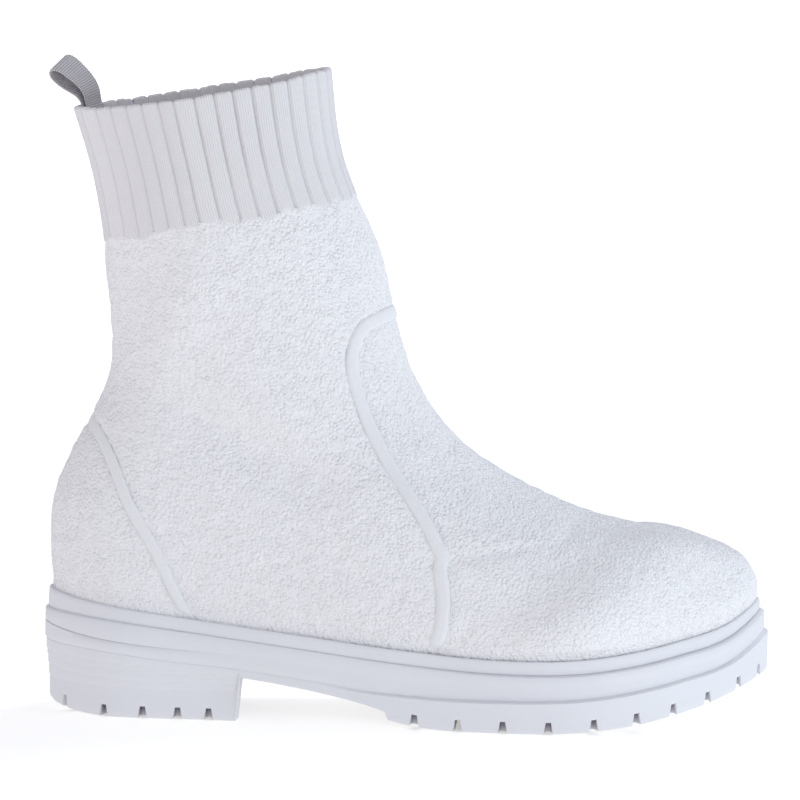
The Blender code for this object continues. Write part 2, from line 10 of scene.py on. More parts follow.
import bpy
import numpy as np
from bpy.props import FloatProperty, FloatVectorProperty, IntProperty, PointerProperty
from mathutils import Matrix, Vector


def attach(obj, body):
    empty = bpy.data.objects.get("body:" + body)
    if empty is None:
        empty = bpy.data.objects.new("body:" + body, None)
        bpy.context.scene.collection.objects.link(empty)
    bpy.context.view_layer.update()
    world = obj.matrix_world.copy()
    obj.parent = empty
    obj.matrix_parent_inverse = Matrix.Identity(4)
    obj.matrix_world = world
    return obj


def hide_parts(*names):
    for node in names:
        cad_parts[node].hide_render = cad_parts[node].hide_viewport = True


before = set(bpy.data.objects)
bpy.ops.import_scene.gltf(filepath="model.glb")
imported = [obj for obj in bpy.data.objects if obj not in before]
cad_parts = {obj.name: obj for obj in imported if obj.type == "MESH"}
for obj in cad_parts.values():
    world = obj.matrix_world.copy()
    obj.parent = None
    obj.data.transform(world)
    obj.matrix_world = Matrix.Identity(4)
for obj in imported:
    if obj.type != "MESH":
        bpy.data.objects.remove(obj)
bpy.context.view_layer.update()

bl_info = {
    "name": "Knitted Ankle Boot",
    "version": (1, 0, 0),
    "blender": (4, 5, 0),
    "location": "View3D > Sidebar > Boot",
    "description": "Dresses the packed ankle boot with its knit, tapes, sole and pull loop",
    "category": "Object",
}

MM = 0.001
FRAME_SHIFT = np.array((-131.4255, 0.5881, 0.0))
# Step of an angle, a row or a length over which a slope is taken.
SMALL = 0.002

# Rows of the upper: the sole's rim, the collar, the ends of the knit and the cuff, and the span
# over which the knit's relief comes out of the sole's lip.
RIM_ROW = 1.0
COLLAR_ROW = 12.0
KNIT_FOOT_ROW = 0.1
KNIT_TOP_ROW = 10.07
CUFF_FOOT_ROW = 9.8
LIP_ROWS = (0.9, 1.4)
# Row that the knit's columns are spaced along, and the row where its edge begins to be uneven.
SPACING_ROW = 4.0
UNEVEN_ROW = 8.5

# The cloth's inner face, counted outward from the upper's outer face, and the rise of the rolled
# top edges.
LINING = -2.2
KNIT_ROLL = 0.5
CUFF_ROLL = 0.95

# Layers of noise: pitch, height and seed. The knit's are millimetres, its edge's height is rows.
KNIT_LUMPS = ((9.0, 0.2, 11.0), (3.1, 0.24, 17.0), (1.7, 0.12, 23.0))
EDGE_LUMPS = ((2.6, 0.05, 3.0), (11.0, 0.06, 5.0))

# Parts of the knit's relief: its bulge over the lip with the rows of its rise and fall, and how
# deep the bed under a tape and the top edge lie.
FOOT_BULGE = 0.5
BULGE_RISE = (0.6, 0.85)
BULGE_FALL = (1.1, 1.5)
BED_DEPTH = 0.35
TOP_SINK = 0.25
# Distances from a tape's middle over which the bed rises to the knit's face.
BED_SIDE = (2.6, 4.4)
# Distance from the foot's middle line over which the creases grow to their height.
CREASE_FADE = 14.0

# Ribs of the cuff: their face and the crown over it, half the width of a groove, and how deep the
# cuff is tucked in under the knit.
RIB_FACE = -0.1
RIB_CROWN = 0.35
GROOVE_WIDTH = 0.6
CUFF_TUCK = 1.2
# Columns of stitches on a rib, and the height of a stitch in metres.
RIB_WALES = 8.0
RIB_COURSE = 0.0008

# Section of a tape: height of its edges, rise of its middle over them and height of its underside;
# then how deep its foot sinks, and the row of its end.
TAPE_EDGE = -0.35
TAPE_CROWN = 0.95
TAPE_UNDERSIDE = -0.7
TAPE_SINK = 0.9
TAPE_FOOT_ROW = 0.85
# Heights between which the heel tape sinks almost flush.
HEEL_FLUSH = (94.0, 104.0)

# Gaps of the sole's cup round the upper and of the seam between its layers, the row where the
# cup's wall ends, and the X between which the painted shade under the lip grows.
CUP_GAP = 0.35
SEAM_GAP = 0.3
CUP_FOOT_ROW = 0.4
LIP_SHADE = (60.0, 240.0)

# Footbed: the row of its edge, how far out it lies, the angles left free at heel and toe, the
# height of its edge over that row and the depth of its dish.
INSOLE_ROW = 0.55
INSOLE_OUT = -2.6
INSOLE_HEEL = 0.09
INSOLE_TOE = 0.07
INSOLE_EDGE = 0.5
INSOLE_DISH = 2.0

# Outsole: where the heel block ends and the tread begins, how far their faces lean, the middles
# of the notches and of the groove along X, and the notches' sizes.
BREAST_X = 70.4
BREAST_RAKE = 1.6
TREAD_X = 125.0
TREAD_RAKE = 1.4
HEEL_NOTCHES = (8.4, 22.4, 36.4, 49.2, 60.6)
FORE_NOTCHES = (136.0, 168.0, 183.9, 199.3, 214.0, 226.9, 239.4, 250.5, 257.6)
FORE_GROOVE = 151.9
NOTCH_FOOT = 3.3
NOTCH_TOP = 1.9
NOTCH_INWARD = 7.0
NOTCH_SLOPE = 1.5
GROUND_CHAMFER = 0.7
# Least angle between a plain station and the edge of a notch.
STATION_GAP = 0.004

RIBBON_THICKNESS = 1.0

# Rows of the midsole's profile that lie in its grooves, and how strong the shade painted there is.
LIP_GROOVE = slice(10, 13)
BAND_GROOVE = slice(20, 22)
GROOVE_SHADE = 0.3


def smooth(at, xs, ys):
    """Cubic curve through the points (xs, ys), going on straight past both ends.

    Each span is the cubic Hermite blend of its two values and slopes, and a slope is the
    mean of the rises on both sides, each weighted by the other span. ys may hold one value
    for each x, or one array of the shape of at for each x.
    """
    at = np.asarray(at, dtype=float)
    xs = np.asarray(xs, dtype=float)
    ys = np.asarray(ys, dtype=float)
    step = np.diff(xs).reshape((-1,) + (1,) * (ys.ndim - 1))
    rise = np.diff(ys, axis=0) / step
    inner = (rise[:-1] * step[1:] + rise[1:] * step[:-1]) / (step[:-1] + step[1:])
    slope = np.concatenate((rise[:1], inner, rise[-1:]))
    index = np.clip(np.searchsorted(xs, at) - 1, 0, len(xs) - 2)

    def pick(values, offset):
        if ys.ndim == 1:
            return values[index + offset]
        return np.take_along_axis(values, (index + offset)[None], axis=0)[0]

    width = np.diff(xs)[index]
    raw = (at - xs[index]) / width
    t = np.clip(raw, 0.0, 1.0)
    curve = (
        pick(ys, 0) * (1 + 2 * t) * (1 - t) ** 2
        + pick(ys, 1) * t * t * (3 - 2 * t)
        + width * (pick(slope, 0) * t * (1 - t) ** 2 - pick(slope, 1) * t * t * (1 - t))
    )
    return curve + (raw - t) * width * np.where(raw > 1, pick(slope, 1), pick(slope, 0))


class Table:
    """Rows of numbers with named columns, read as smooth curves along the first column."""

    def __init__(self, names, rows):
        self.names = names.split()
        self.rows = np.array(rows, dtype=float)

    def column(self, name):
        return self.rows[:, self.names.index(name)]

    def read(self, name, at):
        return smooth(at, self.rows[:, 0], self.column(name))

    def straight(self, name, at):
        return np.interp(at, self.rows[:, 0], self.column(name))


# Rows of the last from the tucked edge (0) and the rim (1) to the collar (12).
LAST = Table(
    "row back_x back_z front_x front_z droop slack swing heel quarter waist ball toe",
    (
        (0, 3.5, 37.0, 257.8, 35.5, 16.5, 0.0, 1.00, 25.0, 30.0, 36.0, 43.3, 25.5),
        (1, 2.3, 44.6, 260.8, 44.0, 16.5, 0.0, 1.00, 25.5, 30.8, 37.0, 44.3, 26.5),
        (2, 1.2, 54.0, 260.6, 52.3, 15.0, 0.0, 1.00, 26.0, 31.5, 38.0, 45.0, 26.5),
        (3, 0.7, 66.0, 252.5, 61.8, 12.5, 0.0, 1.00, 25.5, 31.8, 36.5, 43.0, 24.5),
        (4, 2.0, 80.0, 231.0, 68.6, 9.0, 0.0, 1.00, 24.5, 31.0, 34.5, 38.5, 24.8),
        (5, 7.8, 95.0, 200.0, 75.6, 5.0, 0.0, 0.90, 22.0, 30.0, 32.5, 32.7, 20.0),
        (6, 14.8, 108.0, 170.5, 88.0, 2.0, 0.0, 0.70, 20.0, 29.0, 31.5, 27.5, 15.0),
        (7, 20.8, 122.0, 147.8, 104.2, 0.5, 0.0, 0.50, 17.0, 27.5, 31.5, 26.5, 14.0),
        (8, 22.0, 137.0, 133.5, 124.5, 0.0, 0.0, 0.30, 16.0, 27.0, 31.5, 27.0, 15.0),
        (9, 20.6, 152.0, 125.7, 148.0, 0.0, 0.0, 0.15, 15.5, 27.0, 31.2, 27.0, 15.5),
        (9.5, 19.4, 162.0, 120.6, 168.0, 0.2, 0.0, 0.07, 15.5, 27.0, 31.1, 27.0, 15.5),
        (10, 18.6, 172.0, 111.3, 189.5, 0.5, 0.3, 0.00, 15.5, 27.0, 31.0, 27.0, 15.5),
        (11, 14.0, 197.0, 104.0, 211.0, 1.2, 0.9, 0.00, 15.5, 27.0, 31.0, 27.0, 15.5),
        (12, 6.6, 221.0, 100.4, 237.6, 2.0, 1.6, 0.00, 15.0, 26.5, 30.5, 26.5, 15.0),
    ),
)
WIDTH_ANGLES = np.radians((0, 30, 60, 90, 120, 150, 180))
WIDTH_NAMES = ("heel", "quarter", "waist", "ball", "toe")

# Middle line of the foot in plan.
CENTRE = Table(
    "x y",
    (
        (0, 0.0), (40, 0.0), (82, -1.2), (131, -3.5), (165, -2.5), (180, -1.5),
        (222, 3.0), (250, 6.5), (260, 7.0),
    ),
)

# Height of the sole's rim.
RIM = Table(
    "x z",
    (
        (0, 44.8), (23, 41.0), (71, 35.0), (98, 32.0), (128, 28.7), (163, 26.1),
        (200, 27.0), (230, 32.0), (251, 38.0), (260, 43.5),
    ),
)

# Lines of the sole's side, as drops below the rim: under the lip, the ledge's foot, the heel's
# line with its depth, and the seam between the layers.
SOLE_LINES = Table(
    "x lip ledge line depth seam",
    (
        (0, 7.5, 8.3, 12.0, 0.35, 18.6),
        (10, 5.9, 6.6, 12.3, 0.35, 17.2),
        (25, 5.0, 5.6, 12.4, 0.32, 16.2),
        (40, 4.8, 5.3, 12.0, 0.25, 16.0),
        (56, 4.8, 5.2, 11.2, 0.12, 15.5),
        (71, 4.8, 5.2, 10.5, 0.0, 15.1),
        (98, 4.8, 5.2, 10.5, 0.0, 15.4),
        (119, 4.8, 5.3, 10.8, 0.0, 16.2),
        (140, 4.8, 5.4, 10.6, 0.0, 15.6),
        (165, 4.8, 5.5, 10.0, 0.0, 14.4),
        (223, 4.8, 5.6, 9.6, 0.0, 13.5),
        (250, 4.6, 5.5, 9.2, 0.0, 12.8),
        (262, 3.6, 4.6, 7.8, 0.0, 11.0),
    ),
)

# How far each band of the sole's side stands out from the rim line of the upper.
SOLE_OUT = Table(
    "x lip band tread",
    (
        (0, 2.1, 3.2, 2.8),
        (40, 2.2, 3.1, 2.7),
        (72, 2.4, 3.0, 2.7),
        (100, 2.5, 3.1, 3.1),
        (126, 2.5, 3.3, 4.4),
        (150, 2.3, 3.6, 5.4),
        (180, 2.1, 3.7, 5.8),
        (230, 2.0, 3.8, 5.6),
        (260, 1.7, 3.4, 5.0),
    ),
)

# Lines of the ribs round the heel block.
HEEL_RIBS = Table(
    "x first second third fourth",
    (
        (0, 21.7, 19.6, 16.4, 11.9),
        (25, 20.1, 17.8, 14.4, 11.3),
        (36, 19.2, 17.4, 14.1, 11.0),
        (71, 16.3, 15.2, 13.5, 10.9),
    ),
)

# Lowest face of the outsole: the heel with its rounded back, the arch, and the tread with its
# toe spring.
HEEL_GROUND = Table("x z", ((0, 5.5), (4, 3.0), (10, 1.4), (18, 0.4), (25, 0.0), (71, 0.0)))
ARCH_GROUND = Table(
    "x z", ((71, 16.3), (82, 14.9), (96, 12.8), (111, 10.0), (119, 8.0), (126, 5.8))
)
TREAD_GROUND = Table(
    "x z",
    (
        (126, 3.2), (134, 1.5), (142, 0.5), (150, 0.0), (182, 0.0), (200, 1.2), (214, 3.0),
        (229, 6.2), (244, 10.6), (251, 13.6), (258, 16.8), (264, 19.6),
    ),
)

# Middle lines of the bonded tapes in side view, from the rim upwards.
VAMP_ROUTE = Table(
    "point x z",
    (
        (0, 141.5, 33.0),
        (1, 144.3, 54.0),
        (2, 144.4, 63.5),
        (3, 140.2, 72.0),
        (4, 126.8, 92.5),
        (5, 116.0, 112.1),
        (6, 110.8, 129.0),
        (7, 112.6, 140.8),
        (8, 119.2, 146.3),
    ),
)
HEEL_ROUTE = Table("point x z", ((0, 52.5, 42.5), (1, 34.7, 70.4), (2, 20.8, 98.5)))
# Each tape's route, the angle and height of its crossing, its thinning upwards, and its share of
# the width.
TAPES = {
    "vamp_tape": (VAMP_ROUTE, np.pi, 148.0, 0.0, 1.0),
    "heel_tape": (HEEL_ROUTE, 0.0, 107.0, 0.7, 0.8),
}

# Pull loop: its middle line from the sewn tail to the fold, with the ribbon's width direction.
LOOP_SPINE = Table(
    "along x y z wide_x wide_y wide_z",
    (
        (-13, 17.4, 5.9, 208.6, 4.9, 12.0, 0.0),
        (0, 13.3, 5.9, 221.0, 4.9, 12.0, 1.0),
        (7, 10.8, 6.1, 227.0, 5.0, 11.9, 2.5),
        (14, 4.8, 6.5, 232.4, 5.3, 11.6, 4.4),
        (20, 0.2, 6.7, 236.3, 5.6, 11.5, 5.6),
    ),
)
# Half of the ribbon's path, tail to fold: place along the middle line and distance from it.
LOOP_PLY = Table(
    "along apart",
    ((-13.0, 0.75), (0.0, 0.75), (6.0, 1.5), (11.0, 2.4), (15.5, 2.6), (18.6, 1.8), (19.8, 0.0)),
)

# Grooves between the cuff's ribs on one side of the collar, from the back to the front.
GROOVES = Table(
    "groove x depth",
    (
        (0, 6.9, 0.35), (1, 9.1, 0.35), (2, 14.9, 0.35), (3, 20.4, 0.40), (4, 26.2, 0.45),
        (5, 31.9, 0.50), (6, 38.0, 0.60), (7, 43.6, 0.85), (8, 51.2, 1.00), (9, 58.4, 1.00),
        (10, 65.2, 1.00), (11, 72.1, 0.95), (12, 78.8, 0.90), (13, 85.1, 0.80), (14, 90.7, 0.70),
        (15, 95.6, 0.60), (16, 98.8, 0.50), (17, 100.2, 0.45),
    ),
)
RIBS = 2 * len(GROOVES.rows)

# Worn-in creases of the upper in side view: the ends of each line, the distance at which it has
# fallen to 1/e, and its height, all in millimetres; hollows are negative.
CREASES = Table(
    "line x0 z0 x1 z1 width height",
    (
        (0, 203.0, 84.0, 180.0, 62.0, 2.3, -0.7),
        (1, 200.0, 74.0, 132.0, 58.0, 2.5, -0.8),
        (2, 30.0, 122.0, 118.0, 78.0, 9.0, -3.0),
        (3, 62.0, 190.0, 28.0, 96.0, 12.0, 2.8),
    ),
)

# Rolls of the vamp in side view: the ends of each line, its reach and its height in millimetres.
# The cloth swells on the side of the toe and sole and is hollow on the other, or the other way
# round where the height is negative.
ROLLS = Table(
    "line x0 z0 x1 z1 reach height",
    (
        (0, 247.0, 89.0, 143.0, 15.0, 18.0, 3.2),
        (1, 240.0, 89.0, 138.0, 15.0, 40.0, 1.0),
        (2, 215.0, 78.0, 120.0, 44.0, 24.0, 1.2),
        (3, 214.0, 60.0, 118.0, 104.0, 16.0, -2.0),
    ),
)


def unit(vectors):
    """Vectors scaled to length one."""
    return vectors / np.linalg.norm(vectors, axis=-1, keepdims=True)


def ease(low, high, at):
    """Smooth step: 0 below low, 1 above high, and 3t^2 - 2t^3 between."""
    t = np.clip((at - low) / (high - low), 0.0, 1.0)
    return t * t * (3 - 2 * t)


def dip(x):
    """Dip of the rim at x: 0 at the heel's back and the toe, 1 at the ball."""
    heights = RIM.column("z")
    return (heights.max() - RIM.read("z", x)) / (heights.max() - heights.min())


def last_point(u, row):
    """Points of the upper's outer face: u turns round a row from the heel's back, outer side first.

    X runs from the row's back to its front as (1 - cos u) / 2; Z is the straight line between
    the row's ends less the droop of the rim and the slack; Y is the middle line plus or minus
    a half width that is a cubic curve in the angle.
    """
    u, row = np.broadcast_arrays(np.asarray(u, dtype=float), np.asarray(row, dtype=float))
    along = (1 - np.cos(u)) / 2
    back_x = LAST.read("back_x", row)
    back_z = LAST.read("back_z", row)
    front_x = LAST.read("front_x", row)
    x = back_x + along * (front_x - back_x)
    level = back_z + along * (LAST.read("front_z", row) - back_z)
    sag = dip(x) - (1 - along) * dip(back_x) - along * dip(front_x)
    hang = 4 * along * (1 - along)
    z = level - LAST.read("droop", row) * sag - LAST.read("slack", row) * hang
    flat = np.zeros_like(x)
    widths = np.stack([flat, *(LAST.read(name, row) for name in WIDTH_NAMES), flat])
    half_width = smooth(np.arccos(np.cos(u)), WIDTH_ANGLES, widths)
    y = LAST.read("swing", row) * CENTRE.read("y", x) - np.sign(np.sin(u)) * half_width
    return np.stack((x, y, z), axis=-1)


def last_slopes(u, row):
    """Change of the upper's outer face with the angle and with the row, from small steps."""
    by_u = last_point(u + SMALL, row) - last_point(u - SMALL, row)
    by_row = last_point(u, row + SMALL) - last_point(u, row - SMALL)
    return by_u / (2 * SMALL), by_row / (2 * SMALL)


def shell_point(u, row, out):
    """Points at a distance out from the upper's outer face, along its normal."""
    by_u, by_row = last_slopes(u, row)
    return last_point(u, row) + np.asarray(out)[..., None] * unit(np.cross(by_u, by_row))


def run_lengths(points):
    """Lengths along a line of points from its first; along a grid, the mean of its columns."""
    steps = np.linalg.norm(np.diff(points, axis=0), axis=-1)
    return np.concatenate(([0.0], np.cumsum(steps.reshape(len(steps), -1).mean(axis=1))))


def evenly(count, points, values, closed=False):
    """Values at a count of places spaced evenly along points, without the last if it closes."""
    length = run_lengths(points)
    return np.interp(np.linspace(0.0, length[-1], count, endpoint=not closed), length, values)


def even_angles(count, row):
    """Angles of places spaced evenly all round a row of the upper."""
    u = np.linspace(0.0, 2 * np.pi, 1441)
    return evenly(count, last_point(u, row), u, closed=True)


def even_stations(count):
    """Angles on the outer side spaced evenly along the rim, from the heel's back to the toe."""
    u = np.linspace(0.0, np.pi, 721)
    return evenly(count, last_point(u, RIM_ROW), u)


def even_rows(low, high, count):
    """Rows from low to high, with the same mean distance round the upper from each to the next."""
    row = np.linspace(low, high, 401)
    u = np.linspace(0.0, 2 * np.pi, 24, endpoint=False)
    return evenly(count, last_point(u[None], row[:, None]), row)


def random_cells(cells, seed):
    """Repeatable numbers from 0 to 1 for whole-number cells: the fraction of a large sine."""
    mixed = cells @ np.array((127.1, 311.7, 74.7)) + seed
    return np.modf(np.abs(np.sin(mixed)) * 43758.5453)[0]


def soft_noise(points, pitch, seed):
    """Smooth noise from -1 to 1: random values at the corners of cubes, blended by smooth steps."""
    place = points / pitch
    cell = np.floor(place)
    t = ease(0.0, 1.0, place - cell)
    total = np.zeros(points.shape[:-1])
    for corner in itertools.product((0, 1), repeat=3):
        weight = np.prod(np.where(corner, t, 1 - t), axis=-1)
        total += weight * random_cells(cell + np.array(corner), seed)
    return 2 * total - 1


def layered_noise(points, layers):
    """Sum of smooth noises, each with the pitch, height and seed of its layer."""
    return sum(height * soft_noise(points, pitch, seed) for pitch, height, seed in layers)


def grid_cells(rows, columns, wrap_rows, wrap_columns):
    """Row and column numbers of each cell's four corners in a grid, counted past a wrapped edge."""
    i, j = np.meshgrid(
        np.arange(rows - 1 + wrap_rows), np.arange(columns - 1 + wrap_columns), indexing="ij"
    )
    row = np.stack((i, i, i + 1, i + 1), axis=-1).reshape(-1, 4)
    column = np.stack((j, j + 1, j + 1, j), axis=-1).reshape(-1, 4)
    return row, column


def grid_faces(rows, columns, wrap_rows=False, wrap_columns=True):
    """Quads of a grid of vertices that are numbered row by row."""
    row, column = grid_cells(rows, columns, wrap_rows, wrap_columns)
    return (row % rows) * columns + column % columns


def rung_faces(loop):
    """Faces that fill a closed loop of vertices: quads across it, and a triangle at each end."""
    half = len(loop) // 2
    low = np.arange(1, half - 1)
    quads = np.stack((loop[low], loop[low + 1], loop[-low - 1], loop[-low]), axis=-1)
    ends = [(loop[0], loop[1], loop[-1]), (loop[half - 1], loop[half], loop[half + 1])]
    return quads.tolist() + ends


def tube_faces(rings, corners):
    """Faces of a tube of rings: its quads and one cap at each end."""
    loops = np.arange(rings * corners).reshape(rings, corners)
    return grid_faces(rings, corners).tolist() + [loops[0, ::-1].tolist(), loops[-1].tolist()]


def tube_map(across, along):
    """Cloth map of a tube: places across by corner and along by ring, and 0 on the caps."""
    row, column = grid_cells(len(along), len(across), False, True)
    uv = np.stack((np.append(across, across[0])[column], along[row]), axis=-1).reshape(-1, 2)
    return np.concatenate((uv, np.zeros((2 * len(across), 2))))


def make_piece(name, points, faces, material, node, uv=None, sharp=None, recess_and_shade=None):
    """Mesh object of one piece at the origin, riding on the frame in place of its CAD node.

    points are millimetres of the last; uv holds one pair for each corner of the faces; sharp
    is the angle in degrees past which an edge isn't shaded smooth; the last argument says how
    far each point lies in a groove, from 0 to 1, and how strong the shade painted there is.
    """
    mesh = bpy.data.meshes.new(name)
    places = (points.reshape(-1, 3) + FRAME_SHIFT) * MM
    mesh.from_pydata(places, [], faces)
    if mesh.validate():
        raise RuntimeError(f"{name}: the mesh has broken faces")
    mesh.shade_smooth()
    if sharp:
        mesh.set_sharp_from_angle(angle=np.radians(sharp))
    if uv is not None:
        layer = mesh.uv_layers.new(name="cloth")
        layer.data.foreach_set("uv", np.asarray(uv, dtype=np.float32).ravel())
    # The sole's finish reads this attribute as painted shade.
    if recess_and_shade is not None:
        depth = mesh.attributes.new("recess_and_shade", "FLOAT", "POINT")
        depth.data.foreach_set("value", recess_and_shade.ravel())
    mesh.materials.append(material)
    piece = bpy.data.objects.new(name, mesh)
    bpy.context.scene.collection.objects.link(piece)
    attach(piece, "root")
    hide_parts(node)
    return piece


def make_sole_layer(name, layer, material, node, sharp):
    """Piece of a sole layer from its points and painted shade of recesses, closed top and bottom.
    """
    points, recess_and_shade = (rows[::-1] for rows in layer)
    rows, columns = points.shape[:2]
    loops = np.arange(rows * columns).reshape(rows, columns)
    faces = grid_faces(rows, columns).tolist()
    faces += [face[::-1] for face in rung_faces(loops[0])] + rung_faces(loops[-1])
    make_piece(name, points, faces, material, node, sharp=sharp, recess_and_shade=recess_and_shade)


class Value:
    """One socket of a shader tree; arithmetic on it adds Math nodes."""

    def __init__(self, finish, socket):
        self.finish = finish
        self.socket = socket

    def math(self, operation, *inputs):
        sockets = dict(enumerate(inputs))
        return self.finish.node("ShaderNodeMath", {"operation": operation}, sockets)

    def __add__(self, other):
        return self.math("ADD", self, other)

    def __sub__(self, other):
        return self.math("SUBTRACT", self, other)

    def __mul__(self, other):
        return self.math("MULTIPLY", self, other)

    def __truediv__(self, other):
        return self.math("DIVIDE", self, other)

    def __pow__(self, other):
        return self.math("POWER", self, other)

    def __radd__(self, other):
        return self.math("ADD", other, self)

    def __rsub__(self, other):
        return self.math("SUBTRACT", other, self)

    def __rmul__(self, other):
        return self.math("MULTIPLY", other, self)

    def __rtruediv__(self, other):
        return self.math("DIVIDE", other, self)

    def __rpow__(self, other):
        return self.math("POWER", other, self)

    def __abs__(self):
        return self.math("ABSOLUTE", self)

    def other(self, output):
        return Value(self.finish, self.socket.node.outputs[output])

    def fraction(self):
        return self.math("FRACT", self)

    def sine(self):
        return self.math("SINE", self)


class Finish:
    """Material of one piece: its Principled shader and the nodes that feed it."""

    def __init__(self, name):
        self.material = bpy.data.materials.new(name)
        self.material.use_nodes = True
        self.tree = self.material.node_tree
        self.shader = self.tree.nodes["Principled BSDF"]

    def node(self, kind, settings=None, sockets=None, output=0):
        """Adds a node, sets it up, fills its sockets with values or links, and gives one output."""
        made = self.tree.nodes.new(kind)
        for name, setting in (settings or {}).items():
            setattr(made, name, setting)
        for name, value in (sockets or {}).items():
            self.feed(made.inputs[name], value)
        return Value(self, made.outputs[output])

    def feed(self, socket, value):
        """Links a socket to a value of the tree, or sets it to plain numbers."""
        if isinstance(value, Value):
            self.tree.links.new(value.socket, socket)
        else:
            socket.default_value = value

    def surface(self, **values):
        """Feeds sockets of the shader, named in lower case with low lines for spaces."""
        sockets = {socket.name.lower().replace(" ", "_"): socket for socket in self.shader.inputs}
        for name, value in values.items():
            self.feed(sockets[name], value)

    def place(self):
        """Object coordinates in metres."""
        return self.node("ShaderNodeTexCoord", output="Object")

    def cloth(self):
        """The two coordinates of the piece's own UV map, as values."""
        pair = self.node("ShaderNodeUVMap", {"uv_map": "cloth"})
        split = self.node("ShaderNodeSeparateXYZ", sockets={"Vector": pair})
        return split, split.other("Y")

    def noise(self, place, size, detail=2.0, output="Fac"):
        """Noise with features of a size in metres."""
        sockets = {"Vector": place, "Scale": 1 / size, "Detail": detail}
        return self.node("ShaderNodeTexNoise", sockets=sockets, output=output)

    def nubs(self, place, size):
        """Distance to the nearest of scattered points, about a size in metres apart, in cells."""
        sockets = {"Vector": place, "Scale": 1 / size, "Smoothness": 0.12}
        settings = {"feature": "SMOOTH_F1"}
        return self.node("ShaderNodeTexVoronoi", settings, sockets, "Distance")

    def strayed(self, place, size, reach):
        """Coordinates pushed about by noise, so that a pattern on them is uneven."""
        push = self.noise(place, size, 1.0, "Color")
        sockets = {0: push, 1: (reach,) * 3, 2: place}
        return self.node("ShaderNodeVectorMath", {"operation": "MULTIPLY_ADD"}, sockets)

    def within(self, value, low, high):
        """Smooth step of a value from 0 at low to 1 at high."""
        sockets = {"Value": value, "From Min": low, "From Max": high}
        return self.node("ShaderNodeMapRange", {"interpolation_type": "SMOOTHSTEP"}, sockets)

    def blend(self, low, high, factor):
        """Colour between two colours."""
        sockets = {"Factor": factor, 6: low, 7: high}
        return self.node("ShaderNodeMix", {"data_type": "RGBA"}, sockets, 2)

    def bump(self, height, depth):
        """Normal of a relief: a height from 0 to 1 over a depth in metres."""
        sockets = {"Height": height, "Distance": depth, "Strength": 1.0}
        return self.node("ShaderNodeBump", sockets=sockets)


def shade(colour, share=1.0):
    """Colour with all its parts multiplied, as the four numbers of a socket."""
    return (*(part * share for part in colour), 1.0)


def boucle_finish(colour, nub_size):
    """Loopy knit: rounded nubs of uneven size, painted shade between, fine fibres and slow clumps.
    """
    knit = Finish("boucle_knit")
    place = knit.place()
    nubs = knit.nubs(knit.strayed(place, 2.4 * nub_size, 0.4 * nub_size), nub_size)
    own = knit.node("ShaderNodeSeparateColor", sockets={"Color": nubs.other("Color")})
    fibre = knit.noise(place, 0.4 * nub_size, 3.0)
    clumps = knit.noise(place, 5.0 * nub_size, 2.0)
    dome = 1 - knit.within(nubs, 0.0, 0.8)
    height = dome * (0.4 + 0.35 * own + 0.7 * clumps) + 0.3 * fibre
    # Painted shade: darker colour in the low places between the nubs.
    gap_shade = knit.within(height, 0.15, 0.6)
    knit.surface(
        base_color=knit.blend(shade(colour, 0.94), shade(colour), gap_shade),
        roughness=0.95,
        specular_ior_level=0.2,
        sheen_weight=0.1,
        sheen_roughness=0.6,
        normal=knit.bump(height, 0.38 * nub_size),
    )
    return knit.material


def rib_finish(colour):
    """Ribbed stocking stitch on the cloth map: X counts ribs and Y is metres along the cloth.

    Each wale is a column of V stitches: the height is a round column times a wave whose
    phase slants up from the wale's middle to both its sides. The colour is painted darker as
    shade in the low places between stitches and between two ribs.
    """
    ribbed = Finish("rib_knit")
    across, along = ribbed.cloth()
    wander = ribbed.noise(ribbed.place(), 0.006, 2.0)
    side = abs((across * RIB_WALES + 0.25 * wander).fraction() * 2 - 1)
    column = 1 - side ** 2.0
    turn = (along / RIB_COURSE + 0.45 * side + 0.3 * wander) * (2 * np.pi)
    stitch = 0.5 + 0.5 * turn.sine()
    fibre = ribbed.noise(ribbed.place(), 0.0005, 3.0)
    height = 0.5 * column + 0.35 * column * stitch + 0.25 * fibre
    # Painted shade: darker colour in the low places between stitches and between two ribs.
    gap_shade = ribbed.within(height, 0.1, 0.6)
    face = ribbed.blend(shade(colour, 0.86), shade(colour), gap_shade)
    furrow_shade = ribbed.within(abs(across.fraction() * 2 - 1), 0.76, 1.0)
    ribbed.surface(
        base_color=ribbed.blend(face, shade(colour, 0.89), furrow_shade),
        roughness=0.92,
        specular_ior_level=0.2,
        sheen_weight=0.1,
        sheen_roughness=0.6,
        normal=ribbed.bump(height, 0.00025),
    )
    return ribbed.material


def tape_finish(colour):
    """Tape bonded on the knit: smooth cloth with a fine nap and painted shade along each edge."""
    tape = Finish("bonded_tape")
    across, _ = tape.cloth()
    place = tape.place()
    mottle = tape.noise(place, 0.004, 3.0)
    nap = tape.nubs(place, 0.0007)
    fibre = tape.noise(place, 0.0005, 3.0)
    # Painted shade: darker colour along both edges of the tape.
    edge = tape.within(abs(across * 2 - 1), 0.7, 0.95)
    tape.surface(
        base_color=tape.blend(shade(colour), shade(colour, 0.93), edge * 0.8 + mottle * 0.2),
        roughness=0.7 + 0.15 * mottle,
        specular_ior_level=0.25,
        normal=tape.bump(0.6 * fibre - 0.5 * nap, 0.00016),
    )
    return tape.material


